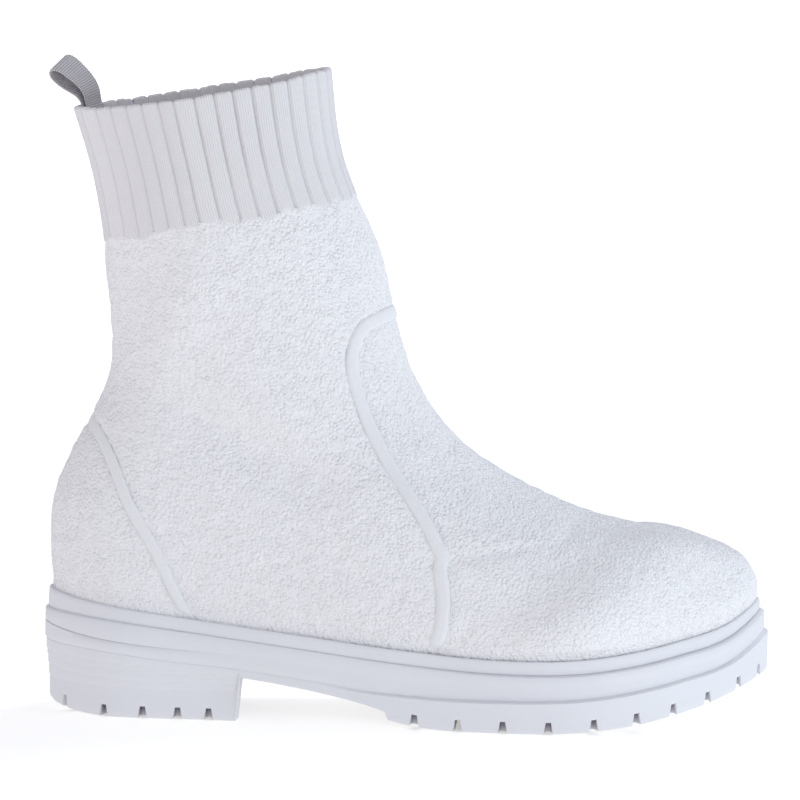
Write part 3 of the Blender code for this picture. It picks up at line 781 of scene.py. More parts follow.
def sole_finish(name, colour):
    """Moulded rubber: fine grain, a faint cloudy tint and a dull gloss, painted shade in recesses.
    """
    sole = Finish(name)
    place = sole.place()
    grain = sole.noise(place, 0.0008, 3.0)
    cloud = sole.noise(place, 0.02, 3.0)
    recess_and_shade = sole.node("ShaderNodeAttribute", {"attribute_name": "recess_and_shade"}, output="Fac")
    open_face = sole.blend(shade(colour, 0.97), shade(colour, 1.02), cloud)
    sole.surface(
        # Painted shade: the recesses are blended towards this deep purple-grey.
        base_color=sole.blend(open_face, (0.20, 0.18, 0.24, 1.0), recess_and_shade),
        roughness=0.5 + 0.16 * cloud + 0.06 * grain,
        specular_ior_level=0.4,
        normal=sole.bump(grain, 0.00006),
    )
    return sole.material


def footbed_finish(colour):
    """Woven cover of the footbed: crossing threads on Object coordinates, with a soft mottle."""
    footbed = Finish("footbed_cloth")
    place = footbed.place()
    axes = footbed.node("ShaderNodeSeparateXYZ", sockets={"Vector": place})
    turn = 2 * np.pi / 0.0009
    warp = 0.5 + 0.5 * (axes * turn).sine()
    weft = 0.5 + 0.5 * (axes.other("Y") * turn).sine()
    mottle = footbed.noise(place, 0.012, 3.0)
    height = warp * weft + 0.3 * footbed.noise(place, 0.0004, 2.0)
    # Painted shade: darker colour in the low places between the threads; the mottle is the cloth's
    # own uneven tone.
    light = height * 0.6 + mottle * 0.4
    footbed.surface(
        base_color=footbed.blend(shade(colour, 0.8), shade(colour, 1.05), light),
        roughness=0.9,
        specular_ior_level=0.2,
        normal=footbed.bump(height, 0.0002),
    )
    return footbed.material


def ribbon_finish(colour, cord):
    """Grosgrain ribbon: cords across it are in the mesh, and fine warp threads cross them."""
    ribbon = Finish("grosgrain_ribbon")
    across, along = ribbon.cloth()
    threads = 0.5 + 0.5 * (across * (60 * np.pi)).sine()
    cords = 0.5 - 0.5 * (along * (2 * np.pi / cord) + np.pi / 2).sine()
    fibre = ribbon.noise(ribbon.place(), 0.0004, 2.0)
    height = 0.4 * threads + 0.6 * fibre
    # Painted shade and light: darker colour between the cords and lighter on them; the fibre noise
    # is the ribbon's own uneven tone.
    cord_shade_and_fibre = cords * 0.8 + fibre * 0.2
    ribbon.surface(
        base_color=ribbon.blend(shade(colour, 1.12), shade(colour, 0.62), cord_shade_and_fibre),
        roughness=0.78,
        specular_ior_level=0.3,
        sheen_weight=0.15,
        normal=ribbon.bump(height, 0.00012),
    )
    return ribbon.material


def beside_line(points, line):
    """Taper along a crease's line in side view, distance to it, and distance to its toe side.

    The taper is the square of 1 - (2t - 1)^2, so that it falls softly to nothing at both ends.
    """
    start = line[1:3]
    run = line[3:5] - start
    from_start = points[..., (0, 2)] - start
    share = np.clip(from_start @ run / (run @ run), 0.0, 1.0)
    away = np.linalg.norm(from_start - share[..., None] * run, axis=-1)
    toward_toe = from_start @ np.array((-run[1], run[0])) / np.linalg.norm(run)
    return (4 * share * (1 - share)) ** 2, away, toward_toe


def crease_relief(points):
    """Height of the worn-in creases and rolls, by the distance to their lines in side view.

    A crease is a Gaussian of that distance. A roll is d exp(-d^2), scaled to its height, where
    d counts reaches from the line and is positive towards the toe. All fade at the middle line
    of the foot, so that the outline from the side stays whole.
    """
    total = np.zeros(points.shape[:-1])
    for line in CREASES.rows:
        taper, away, _ = beside_line(points, line)
        total += line[6] * taper * np.exp(-((away / line[5]) ** 2))
    for line in ROLLS.rows:
        taper, _, toward_toe = beside_line(points, line)
        far = toward_toe / line[5]
        total += line[6] * taper * np.sqrt(2 * np.e) * far * np.exp(-(far**2))
    return total * ease(0.0, CREASE_FADE, np.abs(points[..., 1]))


def worn_relief(u, row):
    """Height of the creases at places on the upper; it fades to nothing inside the sole's lip."""
    return crease_relief(last_point(u, row)) * ease(*LIP_ROWS, row)


def inner_face(u, top, foot, count):
    """Rows of a wall's inner face from top to foot, one array of the angles' length for each."""
    return np.broadcast_to(np.linspace(top, foot, count)[:, None], (count, len(u)))


def wall_grid(u, outer_rows, outer_relief, inner_rows, inner_out, roll):
    """Closed wall of cloth round the upper, as a grid that wraps both ways.

    The outer face goes up, half an oval that rises by the roll turns over the top, and the
    inner face comes down again to the foot of the outer one.
    """
    outer = shell_point(u, outer_rows, outer_relief)
    top = outer_rows[-1]
    up = unit(last_slopes(u, top)[1])
    turn = np.linspace(0.0, np.pi, 9)[1:-1, None]
    middle = (outer_relief[-1] + inner_out[0]) / 2
    lift = middle + (outer_relief[-1] - middle) * np.cos(turn)
    edge = shell_point(np.broadcast_to(u, lift.shape), np.broadcast_to(top, lift.shape), lift)
    edge = edge + roll * np.sin(turn)[..., None] * up
    return np.concatenate((outer, edge, shell_point(u, inner_rows, inner_out)))


def knit_edge(u):
    """Row of the knit's uneven edge on the cuff, at angles round the upper."""
    return KNIT_TOP_ROW + layered_noise(last_point(u, KNIT_TOP_ROW), EDGE_LUMPS)


def knit_points(sizes):
    """Grid of the loopy knit from inside the sole's cup to its uneven edge on the cuff.

    The relief is the sum of the creases, lumps, nubs and a bulge over the sole's lip, less a
    bed pressed in under the tapes and a sink at the top. It fades to nothing inside the lip,
    and the inner face follows its hollows.
    """
    u = even_angles(sizes.knit_columns, SPACING_ROW)
    share = even_rows(KNIT_FOOT_ROW, KNIT_TOP_ROW, sizes.knit_rows)[:, None]
    rows = share + (knit_edge(u) - KNIT_TOP_ROW) * ease(UNEVEN_ROW, KNIT_TOP_ROW, share)
    flat = last_point(u, rows)
    relief = worn_relief(u, rows) + layered_noise(flat, KNIT_LUMPS) * ease(*LIP_ROWS, rows)
    relief += FOOT_BULGE * ease(*BULGE_RISE, rows) * (1 - ease(*BULGE_FALL, rows))
    relief -= BED_DEPTH * tape_bed(flat) + TOP_SINK * ease(CUFF_FOOT_ROW, KNIT_TOP_ROW, share)
    inner_rows = inner_face(u, KNIT_TOP_ROW - 0.1, KNIT_FOOT_ROW, 22)
    inner_out = LINING + np.minimum(worn_relief(u, inner_rows), 0.0)
    return wall_grid(u, rows, relief, inner_rows, inner_out, KNIT_ROLL)


def tape_bed(points):
    """How near points are to the middle of a tape: 1 under it, falling to 0 beside it."""
    middles = np.concatenate([last_point(*tape_route(*line[:3], 2.0)) for line in TAPES.values()])
    flat = points.reshape(-1, 3)
    square = (flat**2).sum(1)[:, None] + (middles**2).sum(1) - 2 * flat @ middles.T
    away = np.sqrt(np.maximum(square.min(axis=1), 0.0)).reshape(points.shape[:-1])
    return 1 - ease(*BED_SIDE, away)


def rib_angle(ribs):
    """Angles and groove depths at places counted in ribs round the collar, straight between."""
    outer_side = side_angle(GROOVES.column("x"), np.full(RIBS // 2, COLLAR_ROW))
    angle = np.tile(np.concatenate((outer_side, 2 * np.pi - outer_side[::-1])), 3)
    angle += np.repeat((-2 * np.pi, 0.0, 2 * np.pi), RIBS)
    depth = GROOVES.column("depth")
    depth = np.tile(np.concatenate((depth, depth[::-1])), 3)
    count = np.arange(-RIBS, 2 * RIBS)
    return np.interp(ribs, count, angle), np.interp(ribs, count, depth)


def cuff_points(sizes):
    """Grid of the ribbed cuff, with the place of each column counted in ribs.

    Across each rib the relief is a raised cosine crown less a narrow Gaussian groove at its
    edge. Grooves and rib tops vary a little from rib to rib. The grooves end at the knit's
    edge, where the cuff tucks in under the knit.
    """
    steps = np.linspace(-1.0, 1.0, sizes.rib_columns, endpoint=False)
    phase = steps * (0.5 + 0.5 * np.abs(steps)) / 2
    ribs = (np.arange(RIBS)[:, None] + phase).ravel()
    phase = np.tile(phase, RIBS)
    number = np.round(ribs) % RIBS
    own = random_cells(np.stack((number, number * 0, number * 0), axis=-1), 7.0)
    u, deep = rib_angle(ribs)
    wide = np.linalg.norm(last_slopes(u, COLLAR_ROW)[0], axis=-1) * np.gradient(u, ribs)
    groove = np.exp(-((phase * wide / GROOVE_WIDTH) ** 2))
    crown = (1 - np.cos(2 * np.pi * phase)) / 2
    low = even_rows(CUFF_FOOT_ROW, COLLAR_ROW - 0.045, sizes.cuff_rows)[:, None]
    scallop = 0.02 * (own - 0.5) - 0.025 * groove
    rows = low + scallop * ease(11.0, COLLAR_ROW, low)
    wander = soft_noise(last_point(u, low), 14.0, 29.0)
    edge = knit_edge(u)
    end = ease(edge - 0.03, edge + 0.02, low)
    depth = sizes.rib_depth / MM * deep * (1 + 0.3 * wander) * end
    relief = RIB_FACE + RIB_CROWN * crown - depth * groove
    relief = relief - CUFF_TUCK * (1 - ease(edge - 0.08, edge - 0.01, low))
    inner_rows = inner_face(u, COLLAR_ROW - 0.05, CUFF_FOOT_ROW, 24)
    inner_out = np.broadcast_to(LINING + 0.3 * groove - 0.1 * crown, inner_rows.shape)
    return wall_grid(u, rows, relief, inner_rows, inner_out, CUFF_ROLL), ribs


def side_angle(x, row):
    """Angle on the outer side where a row of the upper passes x."""
    back = LAST.read("back_x", row)
    share = (x - back) / (LAST.read("front_x", row) - back)
    return np.arccos(1 - 2 * np.clip(share, 0.0, 1.0))


def row_through(x, z):
    """Angle on the outer side and row of the upper at a place in side view, by halving the rows."""
    low = np.zeros_like(x)
    high = np.full_like(x, COLLAR_ROW)
    for _ in range(40):
        row = (low + high) / 2
        above = last_point(side_angle(x, row), row)[:, 2] > z
        high = np.where(above, row, high)
        low = np.where(above, low, row)
    return side_angle(x, row), row


def tape_route(route, crossing_angle, crossing_z, step):
    """Angles and rows along a tape at even steps, from the outer rim over it to the inner rim."""
    u, row = row_through(route.column("x"), route.column("z"))
    name = "front_z" if crossing_angle else "back_z"
    crossing_row = np.interp(crossing_z, LAST.column(name), LAST.column("row"))
    row[0] = TAPE_FOOT_ROW
    u = np.concatenate((u, [crossing_angle], 2 * crossing_angle - u[::-1]))
    row = np.concatenate((row, [crossing_row], row[::-1]))
    points = np.arange(len(u))
    fine = np.linspace(0, points[-1], 60 * len(u))
    places = last_point(smooth(fine, points, u), smooth(fine, points, row))
    at = evenly(int(run_lengths(places)[-1] / step) + 1, places, fine)
    return smooth(at, points, u), smooth(at, points, row)


def tape_points(line, sizes):
    """Grid of a tape: a rounded strip carried along its route on the upper's own face.

    Across the strip the height is its edge's plus the crown times 1 - |s|^3, where s runs from
    -1 to 1; the underside closes it a little below the knit. The foot sinks into the sole's
    lip, and a thinned tape sinks almost flush at the height of its crossing.
    """
    *way, thinning, width_share = line
    u, row = tape_route(*way, 1.0)
    by_u, by_row = last_slopes(u, row)
    along = unit(np.gradient(last_point(u, row), axis=0))
    across = np.cross(unit(np.cross(by_u, by_row)), along)
    uu = (by_u * by_u).sum(1)
    rr = (by_row * by_row).sum(1)
    ur = (by_u * by_row).sum(1)
    to_u = (across * by_u).sum(1)
    to_row = (across * by_row).sum(1)
    scale = uu * rr - ur * ur
    turn_u = (rr * to_u - ur * to_row) / scale
    turn_row = (uu * to_row - ur * to_u) / scale
    top = np.linspace(-1.0, 1.0, 17)
    top = np.sign(top) * np.abs(top) ** 0.7
    ring = np.concatenate((top, (0.8, 0.0, -0.8)))
    lift = np.concatenate((TAPE_EDGE + TAPE_CROWN * (1 - np.abs(top) ** 3), [TAPE_UNDERSIDE] * 3))
    distance = ring * width_share * sizes.tape_width / MM / 2
    angle = u[:, None] + turn_u[:, None] * distance
    level = row[:, None] + turn_row[:, None] * distance
    sunk = 1 - ease(TAPE_FOOT_ROW, TAPE_FOOT_ROW + 0.35, level)
    sunk += 0.5 * thinning * ease(*HEEL_FLUSH, last_point(angle, level)[..., 2])
    thin = 1 - thinning * ease(2.0, 6.0, level)
    out = worn_relief(angle, level) + lift * thin - TAPE_SINK * sunk
    return shell_point(angle, level, out), ring


def rim_angle(x):
    """Angle on the outer side where the rim row of the upper passes x."""
    return side_angle(np.asarray(x, dtype=float), np.full(np.shape(x), RIM_ROW))


def sole_loop(u, out, z):
    """Loop of the sole's side: the rim row in plan moved outward by out, at the heights z."""
    by_u = last_slopes(u, RIM_ROW)[0]
    along = unit(by_u[..., :2])
    outward = np.stack((along[..., 1], -along[..., 0]), axis=-1)
    plan = last_point(u, RIM_ROW)[..., :2] + np.asarray(out)[..., None] * outward
    return np.concatenate((plan, np.broadcast_to(z, plan.shape[:-1])[..., None]), axis=-1)


def mirrored(outer_side):
    """Values at stations all round, from those of the outer side with both ends."""
    return np.concatenate((outer_side, outer_side[-2:0:-1]))


def both_sides(outer_side):
    """Angles of stations all round, from those of the outer side with both ends."""
    return np.concatenate((outer_side, 2 * np.pi - outer_side[-2:0:-1]))


def midsole_points():
    """Grid of the upper sole layer: its side profile carried round the rim.

    From the cup's wall the profile turns over a rounded lip, steps out over a ledge to the
    bulging band and turns in at the seam. The second array is the painted shade in its grooves:
    under the lip, more towards the toe, and in the line round the heel.
    """
    u = both_sides(even_stations(361))
    x = last_point(u, RIM_ROW)[:, 0]
    rim = RIM.read("z", x)
    lip, ledge, line, seam = (
        rim - SOLE_LINES.read(name, x) for name in ("lip", "ledge", "line", "seam")
    )
    depth = SOLE_LINES.read("depth", x)
    lip_out = SOLE_OUT.read("lip", x)
    band_out = SOLE_OUT.read("band", x)
    rows = [shell_point(u, row, np.full_like(u, CUP_GAP)) for row in (CUP_FOOT_ROW, RIM_ROW)]
    rows[1][:, 2] = rim - 0.12
    tall = rim - lip
    step = band_out - lip_out
    profile = (
        (lip_out - 1.0, rim - 0.05),
        (lip_out - 0.7, rim),
        (lip_out - 0.4, rim - 0.15),
        (lip_out - 0.2, rim - 0.45),
        (lip_out - 0.05, rim - 0.3 * tall),
        (lip_out + 0.05, rim - 0.6 * tall),
        (lip_out + 0.05, lip + 0.2),
        (lip_out - 0.02, lip + 0.04),
        (lip_out - 0.15, lip - 0.02),
        (lip_out - 0.15, lip - 0.1),
        (lip_out + 0.1 * step, lip + 0.16 * (ledge - lip)),
        (lip_out + 0.5 * step, lip + 0.5 * (ledge - lip)),
        (lip_out + 0.92 * step, lip + 0.85 * (ledge - lip)),
        (band_out, ledge),
        (band_out + 0.08, ledge - 0.15),
        (band_out + 0.15, (ledge + line) / 2),
        (band_out + 0.15, line + 0.4),
        (band_out + 0.1, line + 0.12),
        (band_out + 0.1 - depth, line),
        (band_out + 0.1 - depth, line - 0.15),
        (band_out + 0.12, line - 0.45),
        (band_out + 0.15, (line + seam) / 2),
        (band_out + 0.1, seam + 0.25),
        (band_out, seam),
        (band_out - 0.15, seam - 0.2),
        (band_out - 0.9, seam - 0.2),
    )
    rows += [sole_loop(u, out, z) for out, z in profile]
    # Painted shade: strongest under the lip towards the toe, and in the line round the heel.
    recess_and_shade = np.zeros((len(rows), len(u)))
    recess_and_shade[LIP_GROOVE] = GROOVE_SHADE * ease(*LIP_SHADE, x)
    recess_and_shade[BAND_GROOVE] = GROOVE_SHADE * depth / depth.max()
    return np.stack(rows), recess_and_shade


def edge_speed(u):
    """Length of the tread's edge for each unit of the angle."""
    out = SOLE_OUT.read("tread", last_point(u, RIM_ROW)[..., 0])
    step = sole_loop(u + SMALL, out, 0.0) - sole_loop(u - SMALL, out, 0.0)
    return np.linalg.norm(step, axis=-1) / (2 * SMALL)


def outsole_stations():
    """Angles all round the outsole, and shares of the notches and of the groove across at each.

    A share is 1 in the hollow and 0 on the lugs beside it, and falls straight between.
    """
    at = rim_angle((*HEEL_NOTCHES, *FORE_NOTCHES, FORE_GROOVE))
    turn = 1 / edge_speed(at)
    sides = np.array((-NOTCH_FOOT, -NOTCH_TOP, NOTCH_TOP, NOTCH_FOOT)) / 2
    edges = at[:, None] + turn[:, None] * sides
    breaks = rim_angle((BREAST_X, BREAST_X + BREAST_RAKE, TREAD_X, TREAD_X + TREAD_RAKE))
    plain = even_stations(261)
    fixed = np.concatenate((edges.ravel(), breaks))
    near = np.abs(plain[:, None] - fixed).min(axis=1) < STATION_GAP
    near[[0, -1]] = False
    outer_side = np.sort(np.concatenate((plain[~near], fixed)))
    away = np.abs(outer_side[:, None] - at) / turn
    share = np.clip((NOTCH_FOOT / 2 - away) / ((NOTCH_FOOT - NOTCH_TOP) / 2), 0.0, 1.0)
    return both_sides(outer_side), mirrored(share.max(axis=1)), mirrored(share[:, -1])


def ground_height(x, station_x):
    """Height of the outsole's lowest face at x, on the block that its station belongs to."""
    heel = station_x < BREAST_X + BREAST_RAKE / 2
    arch = ~heel & (station_x < TREAD_X + TREAD_RAKE / 2)
    front = np.where(arch, ARCH_GROUND.straight("z", x), TREAD_GROUND.read("z", x))
    return np.maximum(np.where(heel, HEEL_GROUND.read("z", x), front), 0.0)


def outsole_points(sizes):
    """Grid of the tread layer: its stepped side, the ground edge and loops set in under it.

    Each notch lifts the ground edge and the loops behind it by the notch's height, which
    falls off along a slope towards the middle of the sole; the groove runs right across. The
    second array says how far each point lies in a notch or the groove, and so how strong the
    shade painted there is.
    """
    u, notch, across = outsole_stations()
    x = last_point(u, RIM_ROW)[:, 0]
    heel = x < BREAST_X + BREAST_RAKE / 2
    out = SOLE_OUT.read("tread", x)
    top = RIM.read("z", x) - SOLE_LINES.read("seam", x) - SEAM_GAP
    ground = ground_height(x, x)
    height = sizes.notch_height / MM
    step = sizes.heel_step / MM
    raised = ground + height * notch
    under_band = out - SOLE_OUT.read("band", x) + 0.3
    shoulder = top - 0.6
    seam = ((under_band, top + SEAM_GAP), (0.2, top - 0.4), (0.0, shoulder))
    rows = [sole_loop(u, out - inset, z) for inset, z in seam]
    ribbed = []
    for count, name in enumerate(("first", "second", "third", "fourth")):
        line = HEEL_RIBS.read(name, x)
        above, below = count * step, (count + 1) * step
        ribbed += [(above, line + 0.3), (above + 0.1, line + 0.1)]
        ribbed += [(below, line - 0.05), (below, line - 0.4)]
    lowest = np.where(heel, ribbed[-1][1], (top + raised + GROUND_CHAMFER) / 2)
    for count, (inset, z) in enumerate(ribbed, 1):
        plain = shoulder + (lowest - shoulder) * count / len(ribbed)
        rows.append(sole_loop(u, out - np.where(heel, inset, 0.0), np.where(heel, z, plain)))
    edge_out = out - np.where(heel, ribbed[-1][0], 0.0)
    for share in (0.25, 0.5, 0.75, 1.0):
        rows.append(sole_loop(u, edge_out, lowest + (raised + GROUND_CHAMFER - lowest) * share))
    for inset, rise in ((0.2, 0.3), (GROUND_CHAMFER, 0.0)):
        rows.append(sole_loop(u, edge_out - inset, raised + GROUND_CHAMFER * rise))
    # These notch shares also set the shade painted in the notches and the groove.
    recess_and_shade = [np.zeros_like(u) for _ in rows]
    for inset in (2.0, 4.0, NOTCH_INWARD - NOTCH_SLOPE, NOTCH_INWARD, NOTCH_INWARD + 1.5):
        loop = sole_loop(u, edge_out - inset, 0.0)
        slope = np.clip((NOTCH_INWARD - inset) / NOTCH_SLOPE, 0.0, 1.0)
        recess_and_shade.append(np.maximum(notch * slope, across))
        loop[:, 2] = ground_height(loop[:, 0], x) + height * recess_and_shade[-1]
        rows.append(loop)
    return np.stack(rows), np.stack(recess_and_shade)


def insole_points():
    """Grid of the footbed: rings across the foot, with a dished top and a plain underside.

    Across the foot the dish is 1 - s^6, where s runs from -1 to 1.
    """
    u = np.linspace(INSOLE_HEEL, np.pi - INSOLE_TOE, 120)
    outer_edge, inner_edge = (
        shell_point(side, INSOLE_ROW, np.full_like(u, INSOLE_OUT)) for side in (u, 2 * np.pi - u)
    )
    floor = last_point(u, 0.0)[:, 2] - CUP_GAP + SEAM_GAP
    share = (1 - np.cos(np.linspace(0.0, np.pi, 25))) / 2
    top = outer_edge[:, None] + share[:, None] * (inner_edge - outer_edge)[:, None]
    top[..., 2] += INSOLE_EDGE - INSOLE_DISH * (1 - (2 * share - 1) ** 6)
    under = top[:, ::-1].copy()
    under[..., 2] = floor[:, None]
    return np.concatenate((top, under), axis=1)


def loop_points(sizes):
    """Grid of the pull loop: a ribbon's section carried along its folded path.

    The section is a flat oval; its thickness swells and shrinks along the path as a cosine,
    which makes the cords that cross the ribbon.
    """
    half = LOOP_PLY.rows
    path = np.concatenate((half, half[-2::-1] * (1, -1)))
    points = np.arange(len(path))
    fine = np.linspace(0, points[-1], 2001)

    def spine(names, along):
        return np.stack([LOOP_SPINE.read(name, along) for name in names], axis=-1)

    def middle(at):
        along = smooth(at, points, path[:, 0])
        apart = smooth(at, points, path[:, 1])
        start = spine("xyz", along)
        wide = unit(spine(("wide_x", "wide_y", "wide_z"), along))
        ahead = unit(spine("xyz", along + SMALL) - start)
        return start + apart[:, None] * unit(np.cross(ahead, wide)), wide

    cord = sizes.ribbon_cord / MM
    length = run_lengths(middle(fine)[0])
    even = np.linspace(0.0, length[-1], int(length[-1] / cord) * 10 + 1)
    place, wide = middle(np.interp(even, length, fine))
    thick = unit(np.cross(np.gradient(place, axis=0), wide))
    turn = np.linspace(0.0, 2 * np.pi, 36, endpoint=False)
    across, depth = (np.sign(wave) * np.abs(wave) ** 0.35 for wave in (np.cos(turn), np.sin(turn)))
    swell = np.cos(2 * np.pi * even / cord)[:, None, None]
    reach = sizes.ribbon_width / MM / 2 + 0.12 * swell
    bulk = RIBBON_THICKNESS / 2 * (0.85 + 0.15 * swell)
    grid = place[:, None] + across[:, None] * wide[:, None] * reach
    return grid + depth[:, None] * thick[:, None] * bulk, across, even


def length_property(name, description, default, low, high):
    """A length in metres that a user may change."""
    return FloatProperty(
        name=name, description=description, default=default, min=low, max=high,
        precision=5, unit="LENGTH",
    )


def count_property(name, description, default, low, high):
    """A number of vertices that a user may change."""
    return IntProperty(name=name, description=description, default=default, min=low, max=high)


def colour_property(name, description, default):
    """A colour that a user may change."""
    return FloatVectorProperty(
        name=name, description=description, default=default, min=0.0, max=1.0,
        size=3, subtype="COLOR",
    )


class BootSizes(bpy.types.PropertyGroup):
    """Sizes of the finish that may change over the fixed shape of the frame."""

    nub_size: length_property(
        "Nub size", "Distance between the loops of the knit", 0.0012, 0.0005, 0.006
    )
    knit_columns: count_property(
        "Knit columns", "Vertices round the knitted body", 420, 60, 800
    )
    knit_rows: count_property(
        "Knit rows", "Vertices up the outer face of the knitted body", 200, 40, 500
    )
    rib_depth: length_property(
        "Rib depth", "Depth of the grooves between the ribs of the cuff", 0.001, 0.0, 0.0015
    )
    rib_columns: count_property("Rib columns", "Vertices across one rib of the cuff", 20, 8, 40)
    cuff_rows: count_property("Cuff rows", "Vertices up the outer face of the cuff", 90, 10, 200)
    tape_width: length_property("Tape width", "Width of the bonded tapes", 0.0055, 0.002, 0.012)
    notch_height: length_property(
        "Notch height", "Height of the notches between the lugs", 0.0042, 0.001, 0.006
    )
    heel_step: length_property(
        "Heel step", "Step in at each line round the heel block", 0.00035, 0.0, 0.0008
    )
    ribbon_width: length_property(
        "Ribbon width", "Width of the pull loop's ribbon", 0.013, 0.006, 0.02
    )
    ribbon_cord: length_property(
        "Ribbon cord", "Distance between the cords across the ribbon", 0.0009, 0.0005, 0.003
    )


class BootColours(bpy.types.PropertyGroup):
    """Colours of the finishes."""

    knit: colour_property("Knit", "Loopy knit of the upper", (0.85, 0.845, 0.87))
    cuff: colour_property("Cuff", "Ribbed cuff", (0.775, 0.76, 0.785))
    tape: colour_property("Tape", "Bonded tapes", (0.775, 0.775, 0.80))
    sole: colour_property("Sole", "Both layers of the sole", (0.725, 0.73, 0.77))
    footbed: colour_property("Footbed", "Cover of the footbed", (0.50, 0.49, 0.52))
    ribbon: colour_property("Ribbon", "Ribbon of the pull loop", (0.56, 0.535, 0.56))
    floor: colour_property("Floor", "Floor of the stage", (0.92, 0.92, 0.93))


class BOOT_OT_knit(bpy.types.Operator):
    """Make the loopy knit of the upper, a closed wall from the sole's cup to the cuff"""

    bl_idname = "boot.knit"
    bl_label = "Knitted Upper"

    def execute(self, context):
        sizes = context.scene.boot_sizes
        points = knit_points(sizes)
        finish = boucle_finish(context.scene.boot_colours.knit, sizes.nub_size)
        faces = grid_faces(*points.shape[:2], wrap_rows=True)
        make_piece("knit_upper", points, faces.tolist(), finish, "upper")
        return {"FINISHED"}


class BOOT_OT_cuff(bpy.types.Operator):
    """Make the ribbed cuff with its rolled edge and its inner face"""

    bl_idname = "boot.cuff"
    bl_label = "Ribbed Cuff"

    def execute(self, context):
        points, ribs = cuff_points(context.scene.boot_sizes)
        row, column = grid_cells(*points.shape[:2], True, True)
        across = np.append(ribs, RIBS + ribs[0])[column]
        along = run_lengths(np.concatenate((points, points[:1])))[row] * MM
        uv = np.stack((across, along), axis=-1)
        finish = rib_finish(context.scene.boot_colours.cuff)
        faces = grid_faces(*points.shape[:2], wrap_rows=True)
        make_piece("rib_cuff", points, faces.tolist(), finish, "upper", uv)
        return {"FINISHED"}


class BOOT_OT_tapes(bpy.types.Operator):
    """Make the two bonded tapes that follow the upper's face"""

    bl_idname = "boot.tapes"
    bl_label = "Bonded Tapes"

    def execute(self, context):
        finish = tape_finish(context.scene.boot_colours.tape)
        for node, line in TAPES.items():
            points, ring = tape_points(line, context.scene.boot_sizes)
            uv = tube_map((ring + 1) / 2, np.arange(len(points)) * MM)
            faces = tube_faces(*points.shape[:2])
            make_piece("bonded_" + node, points, faces, finish, node, uv)
        return {"FINISHED"}


class BOOT_OT_midsole(bpy.types.Operator):
    """Make the sole's upper layer, with its lip, ledge and bulging band"""

    bl_idname = "boot.midsole"
    bl_label = "Midsole"

    def execute(self, context):
        finish = sole_finish("midsole_foam", context.scene.boot_colours.sole)
        make_sole_layer("moulded_midsole", midsole_points(), finish, "midsole", 50.0)
        return {"FINISHED"}


class BOOT_OT_outsole(bpy.types.Operator):
    """Make the tread layer, with its ribbed heel block and notched lugs"""

    bl_idname = "boot.outsole"
    bl_label = "Outsole"

    def execute(self, context):
        layer = outsole_points(context.scene.boot_sizes)
        finish = sole_finish("outsole_rubber", context.scene.boot_colours.sole)
        make_sole_layer("lugged_outsole", layer, finish, "outsole", 40.0)
        return {"FINISHED"}


class BOOT_OT_insole(bpy.types.Operator):
    """Make the cloth-covered footbed inside the upper"""

    bl_idname = "boot.insole"
    bl_label = "Footbed"

    def execute(self, context):
        points = insole_points()
        faces = tube_faces(*points.shape[:2])
        finish = footbed_finish(context.scene.boot_colours.footbed)
        piece = make_piece("cloth_footbed", points, faces, finish, "insole", sharp=50.0)
        return {"FINISHED"}


class BOOT_OT_pull_loop(bpy.types.Operator):
    """Make the folded grosgrain ribbon at the back of the collar"""

    bl_idname = "boot.pull_loop"
    bl_label = "Pull Loop"

    def execute(self, context):
        sizes = context.scene.boot_sizes
        points, across, along = loop_points(sizes)
        uv = tube_map((across + 1) / 2, along * MM)
        faces = tube_faces(*points.shape[:2])
        finish = ribbon_finish(context.scene.boot_colours.ribbon, sizes.ribbon_cord)
        make_piece("ribbon_loop", points, faces, finish, "pull_loop", uv, sharp=60.0)
        return {"FINISHED"}


# Camera: the point it looks at and its distance in millimetres, its angles in degrees, its lens.
CAMERA_TARGET = (128.1, 0.0, 115.4)
CAMERA_DISTANCE = 2500.0
CAMERA_ELEVATION = 6.04
CAMERA_ROLL = 1.13
CAMERA_LENS = 306.1
# Even light of the room.
ROOM_LIGHT = (0.515, 0.525, 0.577)
# Floor: its side in metres, its glow near the boot and far from it, and the span between them.
FLOOR_SIZE = 30.0
GLOW_NEAR = (0.4, 0.394, 0.372)
GLOW_FAR = (0.9, 0.9, 0.9)
GLOW_SPAN = (0.3, 2.5)

# Soft boxes: where each stands and how wide and tall it is, in metres, its power and colour.
LIGHTS = Table(
    "light x y z wide tall power red green blue",
    (
        (0, 0.45, -0.28, 0.1, 0.22, 0.16, 0.25, 0.86, 0.97, 1.0),
        (1, 2.9, -1.0, 0.3, 1.2, 0.5, 14.0, 0.66, 0.89, 1.0),
        (2, -3.0, -0.3, 1.0, 1.4, 1.4, 5.5, 1.0, 0.8, 0.66),
        (3, 0.2, -3.2, 1.2, 1.6, 1.6, 11.5, 1.0, 0.97, 0.9),
        (4, 0.9, 1.2, 1.8, 1.2, 1.2, 12.0, 0.9, 0.97, 1.0),
    ),
)


